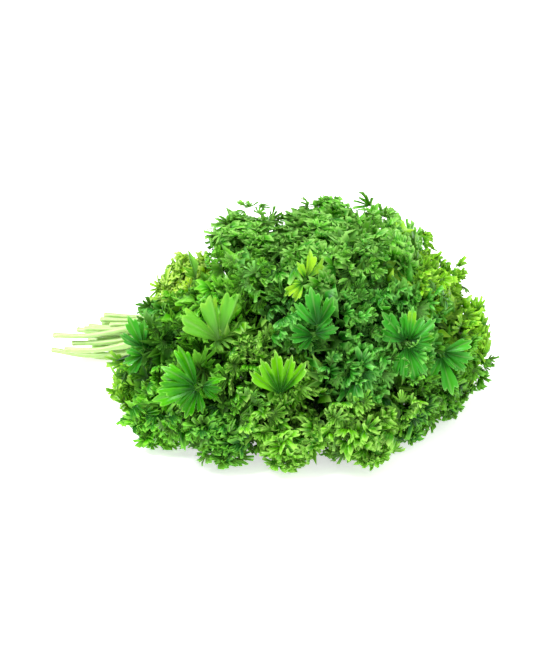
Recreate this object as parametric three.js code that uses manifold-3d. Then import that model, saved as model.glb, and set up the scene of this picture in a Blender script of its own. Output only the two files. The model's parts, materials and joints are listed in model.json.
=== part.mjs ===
// A bunch of curly parsley lying on a table, in millimetres, +Z up.
// The cut stems point to -X and the leafy sprigs fan out to +X into one mound.
// Each sprig is two solids: its pale stem, and its green leaf, whose leaflets are all fused
// to the midrib.
import * as THREE from "three";
import { mergeVertices } from "three/addons/utils/BufferGeometryUtils.js";
import Module from "manifold-3d";

const wasm = await Module();
wasm.setup();

// Driving dimensions of the mound of leaves: an oval in plan, turned, that leans as it rises
const MOUND = {
  centre: new THREE.Vector3(0, 3, 0),
  halfLong: 84,
  halfShort: 62,
  turn: 80,
  height: 92,
  lean: new THREE.Vector3(-5, 20, 0),
  fullness: 2.75,
};
// Rings of sprig tips on the mound: height, number of sprigs, and half the arc they cover
const RINGS = [
  { height: 12, count: 10, halfArc: 126 },
  { height: 41, count: 8, halfArc: 118 },
  { height: 66, count: 7, halfArc: 130 },
  { height: 84, count: 4, halfArc: 130 },
  { height: 95, count: 1, halfArc: 0 },
];
const TIP_JITTER = { angle: 4, height: 3, reach: 0.05 };
const SEED = 23;

// All the sprigs fan out from one point inside the neck of the bunch
const FAN_POINT = new THREE.Vector3(-60, 0, 30);
const FAN_CLEAR = 26; // no leaf grows nearer to the fan point than this
const LEAF_DEPTH = 46; // the leafy length of a full-grown sprig
const SHORT_LEAF = 45; // a shorter leaf than this has one whorl fewer
const LEAF_MIDDLE = 0.6; // the middle of a leaf, as a share of the way up it

// The bundle of bare stems: at the neck it is an oval, and it spreads, flattens and veers to -Y
// on the way to the cut ends
const STEM_RADIUS = { cut: 1.6, leaf: 1 };
const STEM_SPACING = 4.3;
const BUNDLE = { halfWidth: 15, halfHeight: 11 };
const CUT = { x: -129, spread: 10, shiftY: -7, veer: 0.45, widen: 1.55, flatten: 0.8 };
const NECK_X = -88;
const STEM_SIDES = 5;
const STEM_CLEAR = 0.5;
const JOIN_GAP = 0.3; // between a stem's top and its leaf, and between neighbours

// Blades and midribs. What would hang lower than SETTLE.flat lies flat on the table, and up to
// SETTLE.upTo it sinks towards it.
const BLADE_THICKNESS = 0.7;
const SETTLE = { flat: 7, upTo: 14 };
const RIB_RADIUS = 1;
const RIB_TAPER = 0.35;

// Whorls of leaflets on a midrib, from its tip down: how far down, how many, how far they lean out
const WHORLS = [
  { down: 18, count: 3, lean: 40, stalk: 0.2, size: 0.9 },
  { down: 28, count: 4, lean: 66, stalk: 0.42, size: 0.86 },
  { down: 41, count: 3, lean: 66, stalk: 0.45, size: 0.84 },
];
const WHORL_FILL = 1.07;
const WHORL_ROOM = 14; // the room of a whorl is measured this much further out than its root
const WHORL_SHARE = 0.4; // half of a leaflet's share of the turn, a little under a half
const WHORL_TURN = 47; // degrees from one whorl to the next
const TABLE_SPRIG_HEIGHT = 20; // a sprig with its tip below this lays a leaflet on the table
const HUB_RADIUS = 1.4; // leaflets of a whorl part this far from the midrib's axis
const LEAFLET_SIZE = { least: 12, most: 25 };
const LEAFLET_CURL = 0.16; // rise of the outer lobes' tips as a share of the length
const LEAFLET_JITTER = { lean: 6, azimuth: 0.12, size: 0.1, curl: 0.08 };
const LEAFLET_MIDDLE = { out: 0.38, drop: 0.1 };
const NOTCH_DROP = 0.04;
const ROOT_HALF_WIDTH = 0.8;

// A point up to PRESS.free of the way to a wall stays, and past PRESS.full it is at the wall
const PRESS = { free: 0.75, full: 1.25 };

// The model's origin is the middle of its box, at the table
const ORIGIN = new THREE.Vector3(-39.4, 7.5, 0);

const UP = new THREE.Vector3(0, 0, 1);
const rad = THREE.MathUtils.degToRad;
const lerp = THREE.MathUtils.lerp;
const clamp = THREE.MathUtils.clamp;

// A repeatable random number from 0 to 1 at each call.
function makeRandom(seed) {
  let state = seed >>> 0;
  return () => {
    state = (state + 0x6d2b79f5) >>> 0;
    let t = state;
    t = Math.imul(t ^ (t >>> 15), t | 1);
    t ^= t + Math.imul(t ^ (t >>> 7), t | 61);
    return ((t ^ (t >>> 14)) >>> 0) / 4294967296;
  };
}

const random = makeRandom(SEED);
const jitter = (size) => (random() * 2 - 1) * size;

// Where the tip of each sprig lies on the mound.
function sprigTips() {
  const tips = [];
  for (const ring of RINGS) {
    for (let k = 0; k < ring.count; k++) {
      const along = (2 * k + 1 - ring.count) / Math.max(ring.count - 1, 1);
      const angle = rad(along * ring.halfArc + jitter(TIP_JITTER.angle));
      const height = ring.height + jitter(TIP_JITTER.height);
      const level = Math.min(height / MOUND.height, 1);
      const slope = (1 - level ** MOUND.fullness) ** (1 / MOUND.fullness);
      const reach = slope + jitter(TIP_JITTER.reach);
      const turned = angle - rad(MOUND.turn);
      const oval = Math.hypot(
        Math.cos(turned) / MOUND.halfLong,
        Math.sin(turned) / MOUND.halfShort,
      );
      const tip = new THREE.Vector3(Math.cos(angle), Math.sin(angle), 0)
        .multiplyScalar(reach / oval)
        .add(MOUND.centre)
        .addScaledVector(MOUND.lean, level);
      tip.z = Math.min(height, MOUND.height);
      tips.push(tip);
    }
  }
  return tips;
}

// Half the mean angle from sprig i to its nearest neighbours.
function halfAngleTo(directions, i) {
  const NEIGHBOURS = 4;
  const nearest = directions
    .filter((d) => d !== directions[i])
    .map((d) => d.angleTo(directions[i]))
    .sort((a, b) => a - b)
    .slice(0, NEIGHBOURS);
  return nearest.reduce((sum, angle) => sum + angle, 0) / (2 * NEIGHBOURS);
}

// The flat walls that part sprig i from its neighbours and from the bundle of stems.
// A point is inside when normal . point >= offset for every wall.
function cellWalls(directions, i, leafStart) {
  const inset = JOIN_GAP / 2 + BLADE_THICKNESS / 2 + 0.1;
  const bundleDirection = new THREE.Vector3(-1, -0.1, -0.2).normalize();
  const walls = [];
  for (const other of [...directions, bundleDirection]) {
    if (other === directions[i]) continue;
    const normal = directions[i].clone().sub(other).normalize();
    walls.push({ normal, offset: normal.dot(FAN_POINT) + inset });
  }
  const inner = directions[i].dot(FAN_POINT) + leafStart + BLADE_THICKNESS;
  walls.push({ normal: directions[i], offset: inner });
  return walls;
}

// A leaf lies flat where it meets the table, and a point near or past a wall moves back inside it.
function pressInside(point, centre, walls) {
  const table = BLADE_THICKNESS / 2;
  const settled = Math.max((point.z - SETTLE.flat) / (SETTLE.upTo - SETTLE.flat), 0);
  const onTable = settled === 0;
  const rested = point.clone();
  if (settled < 1) rested.z = lerp(table, SETTLE.upTo, settled);
  const ray = rested.clone().sub(centre);
  let reach = 0;
  for (const { normal, offset } of walls) {
    reach = Math.max(reach, -normal.dot(ray) / (normal.dot(centre) - offset));
  }
  if (reach <= PRESS.free) return rested;
  const eased = reach - (reach - PRESS.free) ** 2 / (2 * (PRESS.full - PRESS.free));
  const pressed = reach >= PRESS.full ? 1 : eased;
  const moved = centre.clone().addScaledVector(ray, pressed / reach);
  if (onTable) moved.z = table;
  return moved;
}

// Places of the stems in the bundle's section, in the order in which their sprigs fan out.
function bundlePlaces(directions) {
  const places = directions.map((d) => {
    const away = Math.acos(d.x) / Math.PI;
    const across = Math.atan2(d.z, d.y);
    return new THREE.Vector2(
      2 * BUNDLE.halfWidth * away * Math.cos(across),
      2 * BUNDLE.halfHeight * away * Math.sin(across) - BUNDLE.halfHeight / 2,
    );
  });
  const ROUNDS = 400;
  for (let round = 0; round < ROUNDS; round++) {
    for (let i = 0; i < places.length; i++) {
      for (let j = 0; j < i; j++) {
        const apart = places[i].clone().sub(places[j]);
        const distance = apart.length();
        if (distance >= STEM_SPACING) continue;
        apart.multiplyScalar((STEM_SPACING - distance) / (2 * distance));
        places[i].add(apart);
        places[j].sub(apart);
      }
      const p = places[i];
      const out = Math.hypot(p.x / BUNDLE.halfWidth, p.y / BUNDLE.halfHeight);
      if (out > 1) p.multiplyScalar(1 - 0.3 * (1 - 1 / out));
    }
  }
  return places;
}

const stemRadius = (share) => lerp(STEM_RADIUS.cut, STEM_RADIUS.leaf, share);

// The first route of a stem: along the bundle from its cut end, then out along its own ray.
function stemRoute(place, lowest, direction, leafStart, cutX) {
  const lie = (x) =>
    new THREE.Vector3(
      x,
      place.x * CUT.widen + CUT.shiftY + CUT.veer * (x - NECK_X),
      (place.y - lowest) * CUT.flatten + STEM_RADIUS.cut * Math.cos(Math.PI / STEM_SIDES),
    );
  const neck = new THREE.Vector3(NECK_X, place.x - 2, FAN_POINT.z - 8 + place.y);
  const onRay = (distance) =>
    FAN_POINT.clone().addScaledVector(direction, distance);
  const along = new THREE.CubicBezierCurve3(
    lie(cutX),
    lie(cutX + 18),
    neck.clone().add(new THREE.Vector3(-18, -2, -7)),
    neck,
  );
  const spread = new THREE.CubicBezierCurve3(
    neck,
    neck.clone().add(new THREE.Vector3(14, 1.5, 5.5)),
    onRay(FAN_CLEAR * 0.6),
    onRay(FAN_CLEAR),
  );
  const points = [...along.getPoints(3), ...spread.getPoints(4).slice(1)];
  const top = leafStart - JOIN_GAP;
  if (top > FAN_CLEAR + 4) points.push(onRay(top));
  else points[points.length - 1] = onRay(top);
  return points;
}

// The nearest points of the straight pieces a-b and c-d, as shares of their lengths.
function nearestShares(a, b, c, d) {
  const u = b.clone().sub(a);
  const v = d.clone().sub(c);
  const w = a.clone().sub(c);
  const cross = u.dot(v);
  const det = u.dot(u) * v.dot(v) - cross * cross;
  const free = det > 1e-6 ? (cross * v.dot(w) - v.dot(v) * u.dot(w)) / det : 0.5;
  const t = clamp((cross * clamp(free, 0, 1) + v.dot(w)) / v.dot(v), 0, 1);
  const s = clamp((cross * t - u.dot(w)) / u.dot(u), 0, 1);
  return [s, t];
}

// Stems push each other aside where they would touch. Their last pieces stay on their rays.
function partStems(routes) {
  const ROUNDS = 80;
  const PUSH = 0.7;
  const LAST_FREE = 6;
  const rest = STEM_RADIUS.cut * Math.cos(Math.PI / STEM_SIDES);
  const push = (route, k, share, way) => {
    if (k <= LAST_FREE) route[k].addScaledVector(way, 1 - share);
    if (k + 1 <= LAST_FREE) route[k + 1].addScaledVector(way, share);
  };
  for (let round = 0; round < ROUNDS; round++) {
    for (const [i, one] of routes.entries()) {
      for (const two of routes.slice(0, i)) {
        for (let k = 0; k < one.length - 1; k++) {
          for (let m = Math.max(k - 1, 0); m < Math.min(k + 2, two.length - 1); m++) {
            const [s, t] = nearestShares(one[k], one[k + 1], two[m], two[m + 1]);
            const away = one[k].clone().lerp(one[k + 1], s);
            away.sub(two[m].clone().lerp(two[m + 1], t));
            const distance = away.length();
            const apart = 2 * stemRadius((k + s) / (one.length - 1)) + STEM_CLEAR;
            if (distance >= apart) continue;
            away.multiplyScalar((PUSH * (apart - distance)) / distance);
            push(one, k, s, away);
            push(two, m, t, away.negate());
          }
        }
      }
      for (const point of one) point.z = Math.max(point.z, rest);
    }
  }
}

// A closed tapering tube with flat ends through the points, one flat side facing down.
function taperedTube(points, radiusAt, sides, endDirection) {
  const positions = [];
  const index = [];
  const last = points.length - 1;
  let side = UP.clone();
  points.forEach((point, k) => {
    const ahead = points[Math.min(k + 1, last)];
    const behind = points[Math.max(k - 1, 0)];
    const tangent = ahead.clone().sub(behind).normalize();
    if (k === last) tangent.copy(endDirection);
    side = side.addScaledVector(tangent, -side.dot(tangent)).normalize();
    const other = tangent.clone().cross(side);
    for (let s = 0; s < sides; s++) {
      const turn = (2 * Math.PI * (s + 0.5)) / sides;
      const p = point
        .clone()
        .addScaledVector(side, radiusAt(k / last) * Math.cos(turn))
        .addScaledVector(other, radiusAt(k / last) * Math.sin(turn));
      positions.push(p.x, p.y, Math.max(p.z, 0));
    }
  });
  for (let k = 0; k < last; k++) {
    for (let s = 0; s < sides; s++) {
      const a = k * sides + s;
      const b = k * sides + ((s + 1) % sides);
      index.push(a, b, b + sides, a, b + sides, a + sides);
    }
  }
  for (let s = 1; s < sides - 1; s++) {
    index.push(0, s + 1, s);
    const end = last * sides;
    index.push(end, end + s, end + s + 1);
  }
  return closedGeometry(positions, index);
}

// The triangles of index on the given corner positions.
function closedGeometry(positions, index) {
  const geometry = new THREE.BufferGeometry();
  geometry.setAttribute(
    "position",
    new THREE.BufferAttribute(new Float32Array(positions), 3),
  );
  geometry.setIndex(index);
  return geometry;
}

// Outline of one leaflet: angle from its midline and reach as a share of its length.
const HALF_OUTLINE = [
  { angle: 88, reach: 0.66, tip: true },
  { angle: 65, reach: 0.56, tip: false },
  { angle: 43, reach: 0.93, tip: true },
  { angle: 20, reach: 0.68, tip: false },
  { angle: 0, reach: 1, tip: true },
];
const OUTLINE = [
  ...HALF_OUTLINE.map((point) => ({ ...point, angle: -point.angle })),
  ...HALF_OUTLINE.slice(0, -1).reverse(),
];

// One leaflet, waved at the edge and kept inside its own share of the whorl.
function leafletPoints({ root, along, across, face, stalk, size, curl, spread }) {
  const place = (x, y, z) =>
    root
      .clone()
      .addScaledVector(along, x)
      .addScaledVector(across, y)
      .addScaledVector(face, z);
  const middle = place(stalk + LEAFLET_MIDDLE.out * size, 0, -LEAFLET_MIDDLE.drop * size);
  const rim = OUTLINE.map(({ angle, reach, tip }, k) => {
    const wave = k % 4 === 0 ? 1 : -0.4;
    const lift = size * (tip ? curl * wave : -NOTCH_DROP);
    const x = stalk + reach * size * Math.cos(rad(angle));
    const y = reach * size * Math.sin(rad(angle));
    const most = Math.max(x * spread - JOIN_GAP, ROOT_HALF_WIDTH);
    return place(x, clamp(y, -most, most), lift);
  });
  return { middle, rim };
}

// A whorl as one sheet: its leaflets, joined round the midrib.
function whorlSheet(frames) {
  const points = [];
  const faces = [];
  const notches = frames.map((frame, k) => {
    const next = frames[(k + 1) % frames.length];
    const outward = frame.outward.clone().add(next.outward).normalize();
    return points.push(
      frame.root
        .clone()
        .addScaledVector(outward, HUB_RADIUS)
        .addScaledVector(frame.direction, HUB_RADIUS / 2),
    ) - 1;
  });
  for (let k = 2; k < notches.length; k++) {
    faces.push([notches[0], notches[k - 1], notches[k]]);
  }
  frames.forEach((frame, k) => {
    const { middle, rim } = leafletPoints(frame);
    const centre = points.push(middle) - 1;
    const before = notches[(k + frames.length - 1) % frames.length];
    const ring = [before, ...rim.map((p) => points.push(p) - 1), notches[k]];
    ring.forEach((v, n) => faces.push([centre, v, ring[(n + 1) % ring.length]]));
  });
  return { points, faces };
}

// A sheet given thickness, with both its faces split alike.
function thicken({ points, faces }) {
  const normals = points.map(() => new THREE.Vector3());
  const edges = new Set();
  for (const face of faces) {
    const [a, b, c] = face.map((v) => points[v]);
    const normal = b.clone().sub(a).cross(c.clone().sub(a)).normalize();
    face.forEach((v, n) => {
      normals[v].add(normal);
      edges.add(`${v},${face[(n + 1) % 3]}`);
    });
  }
  const half = BLADE_THICKNESS / 2;
  const positions = [];
  points.forEach((p, v) => {
    const onTable = p.z < half + 1e-6;
    if (onTable) normals[v].set(0, 0, Math.sign(normals[v].z) || 1);
    normals[v].normalize();
  });
  for (const way of [1, -1]) {
    points.forEach((p, v) => {
      const q = p.clone().addScaledVector(normals[v], way * half);
      positions.push(q.x, q.y, Math.max(q.z, 0));
    });
  }
  const under = points.length;
  const index = [];
  for (const [a, b, c] of faces) {
    index.push(a, b, c, under + a, under + c, under + b);
  }
  for (const edge of edges) {
    const [b, c] = edge.split(",").map(Number);
    if (edges.has(`${c},${b}`)) continue;
    index.push(b, under + b, under + c, b, under + c, c);
  }
  return closedGeometry(positions, index);
}

// The solid within a closed surface.
function solidOf(geometry) {
  const merged = mergeVertices(geometry, 1e-4);
  return new wasm.Manifold(
    new wasm.Mesh({
      numProp: 3,
      vertProperties: merged.attributes.position.array,
      triVerts: new Uint32Array(merged.index.array),
    }),
  );
}

// A solid as a named mesh.
function meshOf(solid, name, material) {
  const made = solid.getMesh();
  const geometry = closedGeometry(made.vertProperties, Array.from(made.triVerts));
  geometry.computeVertexNormals();
  const mesh = new THREE.Mesh(geometry, material);
  mesh.name = name;
  return mesh;
}

// How far from the fan point a whorl is rooted. A short sprig has its whorls nearer together.
function whorlDistance(whorl, leafStart, tipDistance) {
  const spacing = Math.min(1, (tipDistance - leafStart) / LEAF_DEPTH);
  return tipDistance - whorl.down * spacing;
}

// The leaflets of each whorl down a midrib, sized to the room that the sprig has there.
function whorlFrames(direction, leafStart, tipDistance, halfAngle) {
  const sideways = UP.clone().cross(direction).normalize();
  const upward = direction.clone().cross(sideways);
  const drawn = random() * 360;
  const resting = FAN_POINT.z + direction.z * tipDistance < TABLE_SPRIG_HEIGHT;
  const turn = resting ? -90 - WHORL_TURN : drawn;
  const whorls = WHORLS.slice(0, tipDistance - leafStart < SHORT_LEAF ? 2 : 3);
  return whorls.map((whorl, w) => {
    const from = whorlDistance(whorl, leafStart, tipDistance);
    const room = WHORL_FILL * (from + WHORL_ROOM) * Math.tan(halfAngle);
    const root = FAN_POINT.clone().addScaledVector(direction, from);
    return Array.from({ length: whorl.count }, (_, k) => {
      const lean = rad(whorl.lean + jitter(LEAFLET_JITTER.lean));
      const step = 360 / whorl.count;
      const shift = jitter(LEAFLET_JITTER.azimuth * step);
      const azimuth = rad(turn + WHORL_TURN * w + step * k + shift);
      const outward = sideways
        .clone()
        .multiplyScalar(Math.cos(azimuth))
        .addScaledVector(upward, Math.sin(azimuth));
      const along = direction
        .clone()
        .multiplyScalar(Math.cos(lean))
        .addScaledVector(outward, Math.sin(lean));
      const across = direction.clone().cross(outward);
      const fitted = clamp(room * whorl.size, LEAFLET_SIZE.least, LEAFLET_SIZE.most);
      return {
        direction,
        root,
        outward,
        along,
        across,
        face: along.clone().cross(across),
        stalk: room * whorl.stalk,
        size: fitted * (1 + jitter(LEAFLET_JITTER.size)),
        curl: LEAFLET_CURL + jitter(LEAFLET_JITTER.curl),
        spread: Math.sin(lean) * Math.tan(rad(WHORL_SHARE * step)),
      };
    });
  });
}

// Mid, light and dark leaf, and the numbers of the sprigs that are light and dark
const LEAF_GREENS = { mid: 0x3f8f1f, light: 0x5da52c, dark: 0x2f7a22 };
const LIGHT_SPRIGS = [1, 4, 5, 8, 13, 16, 17, 19, 23];
const DARK_SPRIGS = [3, 6, 7, 10, 11, 14, 15, 21, 22, 26, 28];
const leafMaterial = (color) =>
  new THREE.MeshStandardMaterial({ color, roughness: 0.5, metalness: 0 });
const leafMaterials = {
  mid: leafMaterial(LEAF_GREENS.mid),
  light: leafMaterial(LEAF_GREENS.light),
  dark: leafMaterial(LEAF_GREENS.dark),
};
const leafTone = (number) => {
  if (LIGHT_SPRIGS.includes(number)) return "light";
  return DARK_SPRIGS.includes(number) ? "dark" : "mid";
};
const stemMaterial = new THREE.MeshStandardMaterial({
  color: 0xb9d98a,
  roughness: 0.45,
  metalness: 0,
});

const bunch = new THREE.Group();
bunch.position.copy(ORIGIN).negate();

const tips = sprigTips();
const directions = tips.map((tip) => tip.clone().sub(FAN_POINT).normalize());
const places = bundlePlaces(directions);
const lowest = Math.min(...places.map((p) => p.y));

const tipDistances = tips.map((tip) => tip.distanceTo(FAN_POINT));
const leafStarts = tipDistances.map((d) => Math.max(FAN_CLEAR, d - LEAF_DEPTH));
const routes = tips.map((tip, i) =>
  stemRoute(places[i], lowest, directions[i], leafStarts[i], CUT.x + jitter(CUT.spread)),
);
partStems(routes);

tips.forEach((tip, i) => {
  const number = String(i + 1).padStart(2, "0");
  const direction = directions[i];
  const tipDistance = tipDistances[i];
  const leafStart = leafStarts[i];

  const stem = taperedTube(routes[i], stemRadius, STEM_SIDES, direction);
  bunch.add(meshOf(solidOf(stem), `stem_${number}`, stemMaterial));

  const walls = cellWalls(directions, i, leafStart);
  const middle = lerp(leafStart, tipDistance, LEAF_MIDDLE);
  const centre = FAN_POINT.clone().addScaledVector(direction, middle);
  const ribTop = whorlDistance(WHORLS[0], leafStart, tipDistance) + RIB_RADIUS;
  const rib = [leafStart, ribTop].map((distance) =>
    FAN_POINT.clone().addScaledVector(direction, distance),
  );
  const ribRadius = (t) => RIB_RADIUS * (1 - RIB_TAPER * t);
  let leaf = solidOf(taperedTube(rib, ribRadius, 3, direction));
  const halfAngle = halfAngleTo(directions, i);
  for (const frames of whorlFrames(direction, leafStart, tipDistance, halfAngle)) {
    const sheet = whorlSheet(frames);
    sheet.points = sheet.points.map((p) => pressInside(p, centre, walls));
    leaf = leaf.add(solidOf(thicken(sheet)));
  }
  const body = leaf.decompose().sort((a, b) => b.volume() - a.volume())[0];
  bunch.add(meshOf(body, `leaf_${number}`, leafMaterials[leafTone(i + 1)]));
});

export default bunch;
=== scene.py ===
"""Looks of a bunch of curly parsley that lies on a white surface.

The CAD model gives every sprig as a stem and a leaf of plain whorled leaflets. Here each stem
becomes a smooth ribbed stalk along the same route, and each leaf becomes a dense crisped leaf
with its leaflets on the same seats as the CAD ones, pressed into the same room.
"""

import itertools
import json
import logging
import math
from dataclasses import dataclass, field, fields, replace
from enum import Enum

import bpy
import numpy as np
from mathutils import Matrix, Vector


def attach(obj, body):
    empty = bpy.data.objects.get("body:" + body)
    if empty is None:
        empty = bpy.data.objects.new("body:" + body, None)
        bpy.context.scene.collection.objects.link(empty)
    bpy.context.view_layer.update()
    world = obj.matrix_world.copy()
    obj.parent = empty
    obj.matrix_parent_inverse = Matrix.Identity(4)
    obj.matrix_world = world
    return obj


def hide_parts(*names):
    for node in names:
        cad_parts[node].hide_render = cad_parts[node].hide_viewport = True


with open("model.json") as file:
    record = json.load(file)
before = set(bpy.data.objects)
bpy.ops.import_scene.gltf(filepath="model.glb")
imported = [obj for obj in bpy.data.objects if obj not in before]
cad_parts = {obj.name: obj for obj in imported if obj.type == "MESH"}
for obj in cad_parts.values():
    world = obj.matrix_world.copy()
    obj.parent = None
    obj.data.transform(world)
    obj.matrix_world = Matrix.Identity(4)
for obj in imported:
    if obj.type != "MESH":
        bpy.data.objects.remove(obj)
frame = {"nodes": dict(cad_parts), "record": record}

LOG = logging.getLogger("parsley")
MM = 0.001
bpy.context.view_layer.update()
Point = tuple[float, float, float]


def linear(hex_colour: str) -> tuple[float, float, float, float]:
    """Turns an sRGB hex colour into Blender's linear colour.

    Args:
        hex_colour: Six hex digits, such as "3f8f1f".

    Returns:
        Linear red, green and blue, and an alpha of 1.
    """
    out = []
    for k in (0, 2, 4):
        c = int(hex_colour[k:k + 2], 16) / 255
        out.append(c / 12.92 if c <= 0.04045 else ((c + 0.055) / 1.055) ** 2.4)
    return (*out, 1.0)


def unit(v: np.ndarray) -> np.ndarray:
    """Returns vectors scaled to length 1 along the last axis."""
    return v / np.linalg.norm(v, axis=-1, keepdims=True)


def direction_to(azimuth: float, elevation: float) -> Vector:
    """Finds the way from the bunch to the camera or to a light.

    Args:
        azimuth: Degrees from the front of the frame, -y, towards +x.
        elevation: Degrees above the table.

    Returns:
        A unit vector.
    """
    a, e = math.radians(azimuth), math.radians(elevation)
    return Vector((math.sin(a) * math.cos(e), -math.cos(a) * math.cos(e), math.sin(e)))


# How the bunch grew: the same rule and the same draws as the CAD model, in millimetres


@dataclass(frozen=True)
class Ring:
    """A ring of sprig tips on the mound.

    Args:
        height: Height of the tips above the table.
        count: How many tips there are.
        half_arc: How far they reach to each side of the end away from the stems, in degrees.
    """

    height: float
    count: int
    half_arc: float


@dataclass(frozen=True)
class Whorl:
    """A whorl of leaflets on a midrib.

    Args:
        down: How far below the sprig's tip it sits.
        count: How many leaflets it has.
        lean: How far they lean away from the midrib, in degrees.
        stalk: Length of a leaflet's stalk as a share of the sprig's room there.
        size: Length of a leaflet, the same way.
    """

    down: float
    count: int
    lean: float
    stalk: float
    size: float


@dataclass(frozen=True)
class GrowthPlan:
    """Driving dimensions of the bunch, in millimetres and degrees.

    Args:
        centre: Middle of the mound of tips, on the table.
        half_long: Half of the mound's length, seen from above.
        half_short: Half of its width.
        turn: How far its length is turned from the x axis.
        height: Its height.
        lean: How far its top lies off its middle.
        fullness: How upright its sides are: a power, 2 for an ellipse.
        rings: Its rings of tips, from the table up.
        angle_jitter: How much the angle of a tip varies.
        height_jitter: How much the height of a tip varies.
        reach_jitter: How much the distance of a tip varies, as a share.
        seed: Seed of the draws.
        fan_point: Where the rays of all sprigs start.
        fan_clear: Least distance of a leaf's foot from there.
        leaf_depth: Length of a full leaf along its ray.
        short_leaf: Length below which a leaf has two whorls and not three.
        cut_spread: How much the cut ends vary.
        join_gap: Gap between the CAD model's leaves.
        blade: Thickness of its leaflets.
        wall_slack: What the walls between its leaves stand back besides.
        bundle: Which way the bundle of stems lies from the fan point.
        settle_up_to: Height below which leaflets are pressed towards the table.
        settle_power: How much harder they are pressed further down.
        deepest: Depth below the table at which a point ends up on it.
        table: Height of the lowest points of a leaf.
        ceiling: Height above which leaflets are drawn down.
        tip_slack: How far inside the tip they start to be drawn in.
        draw_in: Share of what goes past the tip or the ceiling that is taken back.
        mingle: How far the crisped leaflets may go past the walls.
        whorls: The whorls of a leaf, from the tip down.
        whorl_fill: Size of a whorl as a share of its sprig's room.
        whorl_room: How much further out than the whorl that room is measured.
        whorl_turn: Turn from one whorl to the next.
        table_sprig: Height of a tip below which its sprig rests on the table.
        least_size: Least length of a leaflet.
        most_size: Greatest length of a leaflet.
        lean_jitter: How much a leaflet's lean varies.
        azimuth_jitter: How much its place in the whorl varies, as a share of the gap.
        size_jitter: How much its length varies, as a share.
        curl_jitter: How much the curl of a CAD leaflet varies.
        hub: How far up a leaf the point lies that leaflets are pressed towards, as a share.
        press_free: Share of the way to a wall up to which points stay where they are.
        press_full: Share of the way from which they lie on the wall.
        hollow_angle: Widest hollow between three tips, as an angle at the fan point in radians.
        hollow_fill: Size of the tuft in a hollow as a share of the hollow.
        hollow_sizes: Least and greatest size of such a tuft.
        hollow_floor: Height below which a hollow is left open.
        origin: The frame's origin in these millimetres.
    """

    centre: Point = (0.0, 3.0, 0.0)
    half_long: float = 84.0
    half_short: float = 62.0
    turn: float = 80.0
    height: float = 92.0
    lean: Point = (-5.0, 20.0, 0.0)
    fullness: float = 2.75
    rings: tuple[Ring, ...] = (
        Ring(12, 10, 126), Ring(41, 8, 118), Ring(66, 7, 130), Ring(84, 4, 130), Ring(95, 1, 0),
    )
    angle_jitter: float = 4.0
    height_jitter: float = 3.0
    reach_jitter: float = 0.05
    seed: int = 23
    fan_point: Point = (-60.0, 0.0, 30.0)
    fan_clear: float = 26.0
    leaf_depth: float = 46.0
    short_leaf: float = 45.0
    cut_spread: float = 10.0
    join_gap: float = 0.3
    blade: float = 0.7
    wall_slack: float = 0.1
    bundle: Point = (-1.0, -0.1, -0.2)
    settle_up_to: float = 14.0
    settle_power: float = 1.7
    deepest: float = -12.0
    table: float = 0.25
    ceiling: float = 86.0
    tip_slack: float = 3.0
    draw_in: float = 0.5
    mingle: float = 4.0
    whorls: tuple[Whorl, ...] = (
        Whorl(18, 3, 40, 0.2, 0.9), Whorl(28, 4, 66, 0.42, 0.86), Whorl(41, 3, 66, 0.45, 0.84),
    )
    whorl_fill: float = 1.07
    whorl_room: float = 14.0
    whorl_turn: float = 47.0
    table_sprig: float = 20.0
    least_size: float = 12.0
    most_size: float = 25.0
    lean_jitter: float = 6.0
    azimuth_jitter: float = 0.12
    size_jitter: float = 0.1
    curl_jitter: float = 0.08
    hub: float = 0.6
    press_free: float = 0.75
    press_full: float = 1.25
    hollow_angle: float = 0.62
    hollow_fill: float = 0.46
    hollow_sizes: tuple[float, float] = (11.0, 18.0)
    hollow_floor: float = 9.0
    origin: Point = (-39.4, 7.5, 0.0)


class Draws:
    """Repeatable random numbers, the same ones as the CAD model draws."""

    MASK = 0xFFFFFFFF
    STEP = 0x6D2B79F5

    def __init__(self, seed: int) -> None:
        """Starts the numbers from a seed."""
        self.state = seed & self.MASK

    def draw(self) -> float:
        """Draws a number.

        Returns:
            The next number from 0 to 1.
        """
        self.state = (self.state + self.STEP) & self.MASK
        t = self.state
        t = ((t ^ (t >> 15)) * (t | 1)) & self.MASK
        t ^= (t + (((t ^ (t >> 7)) * (t | 61)) & self.MASK)) & self.MASK
        return ((t ^ (t >> 14)) & self.MASK) / (self.MASK + 1)

    def jitter(self, size: float) -> float:
        """Returns the next number from -size to size."""
        return (self.draw() * 2 - 1) * size


@dataclass
class Seat:
    """Where one leaflet grows from the midrib, and how it points.

    Args:
        root: Point on the midrib.
        outward: Unit vector square to the midrib, towards the leaflet's side.
        along: Unit vector along the leaflet.
        across: Unit vector across it.
        face: Unit vector square to both.
        stalk: Length of its stalk.
        size: Its own length.
        whorl: Number of its whorl, from 0 at the tip.
    """

    root: np.ndarray
    outward: np.ndarray
    along: np.ndarray
    across: np.ndarray
    face: np.ndarray
    stalk: float
    size: float
    whorl: int


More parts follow.
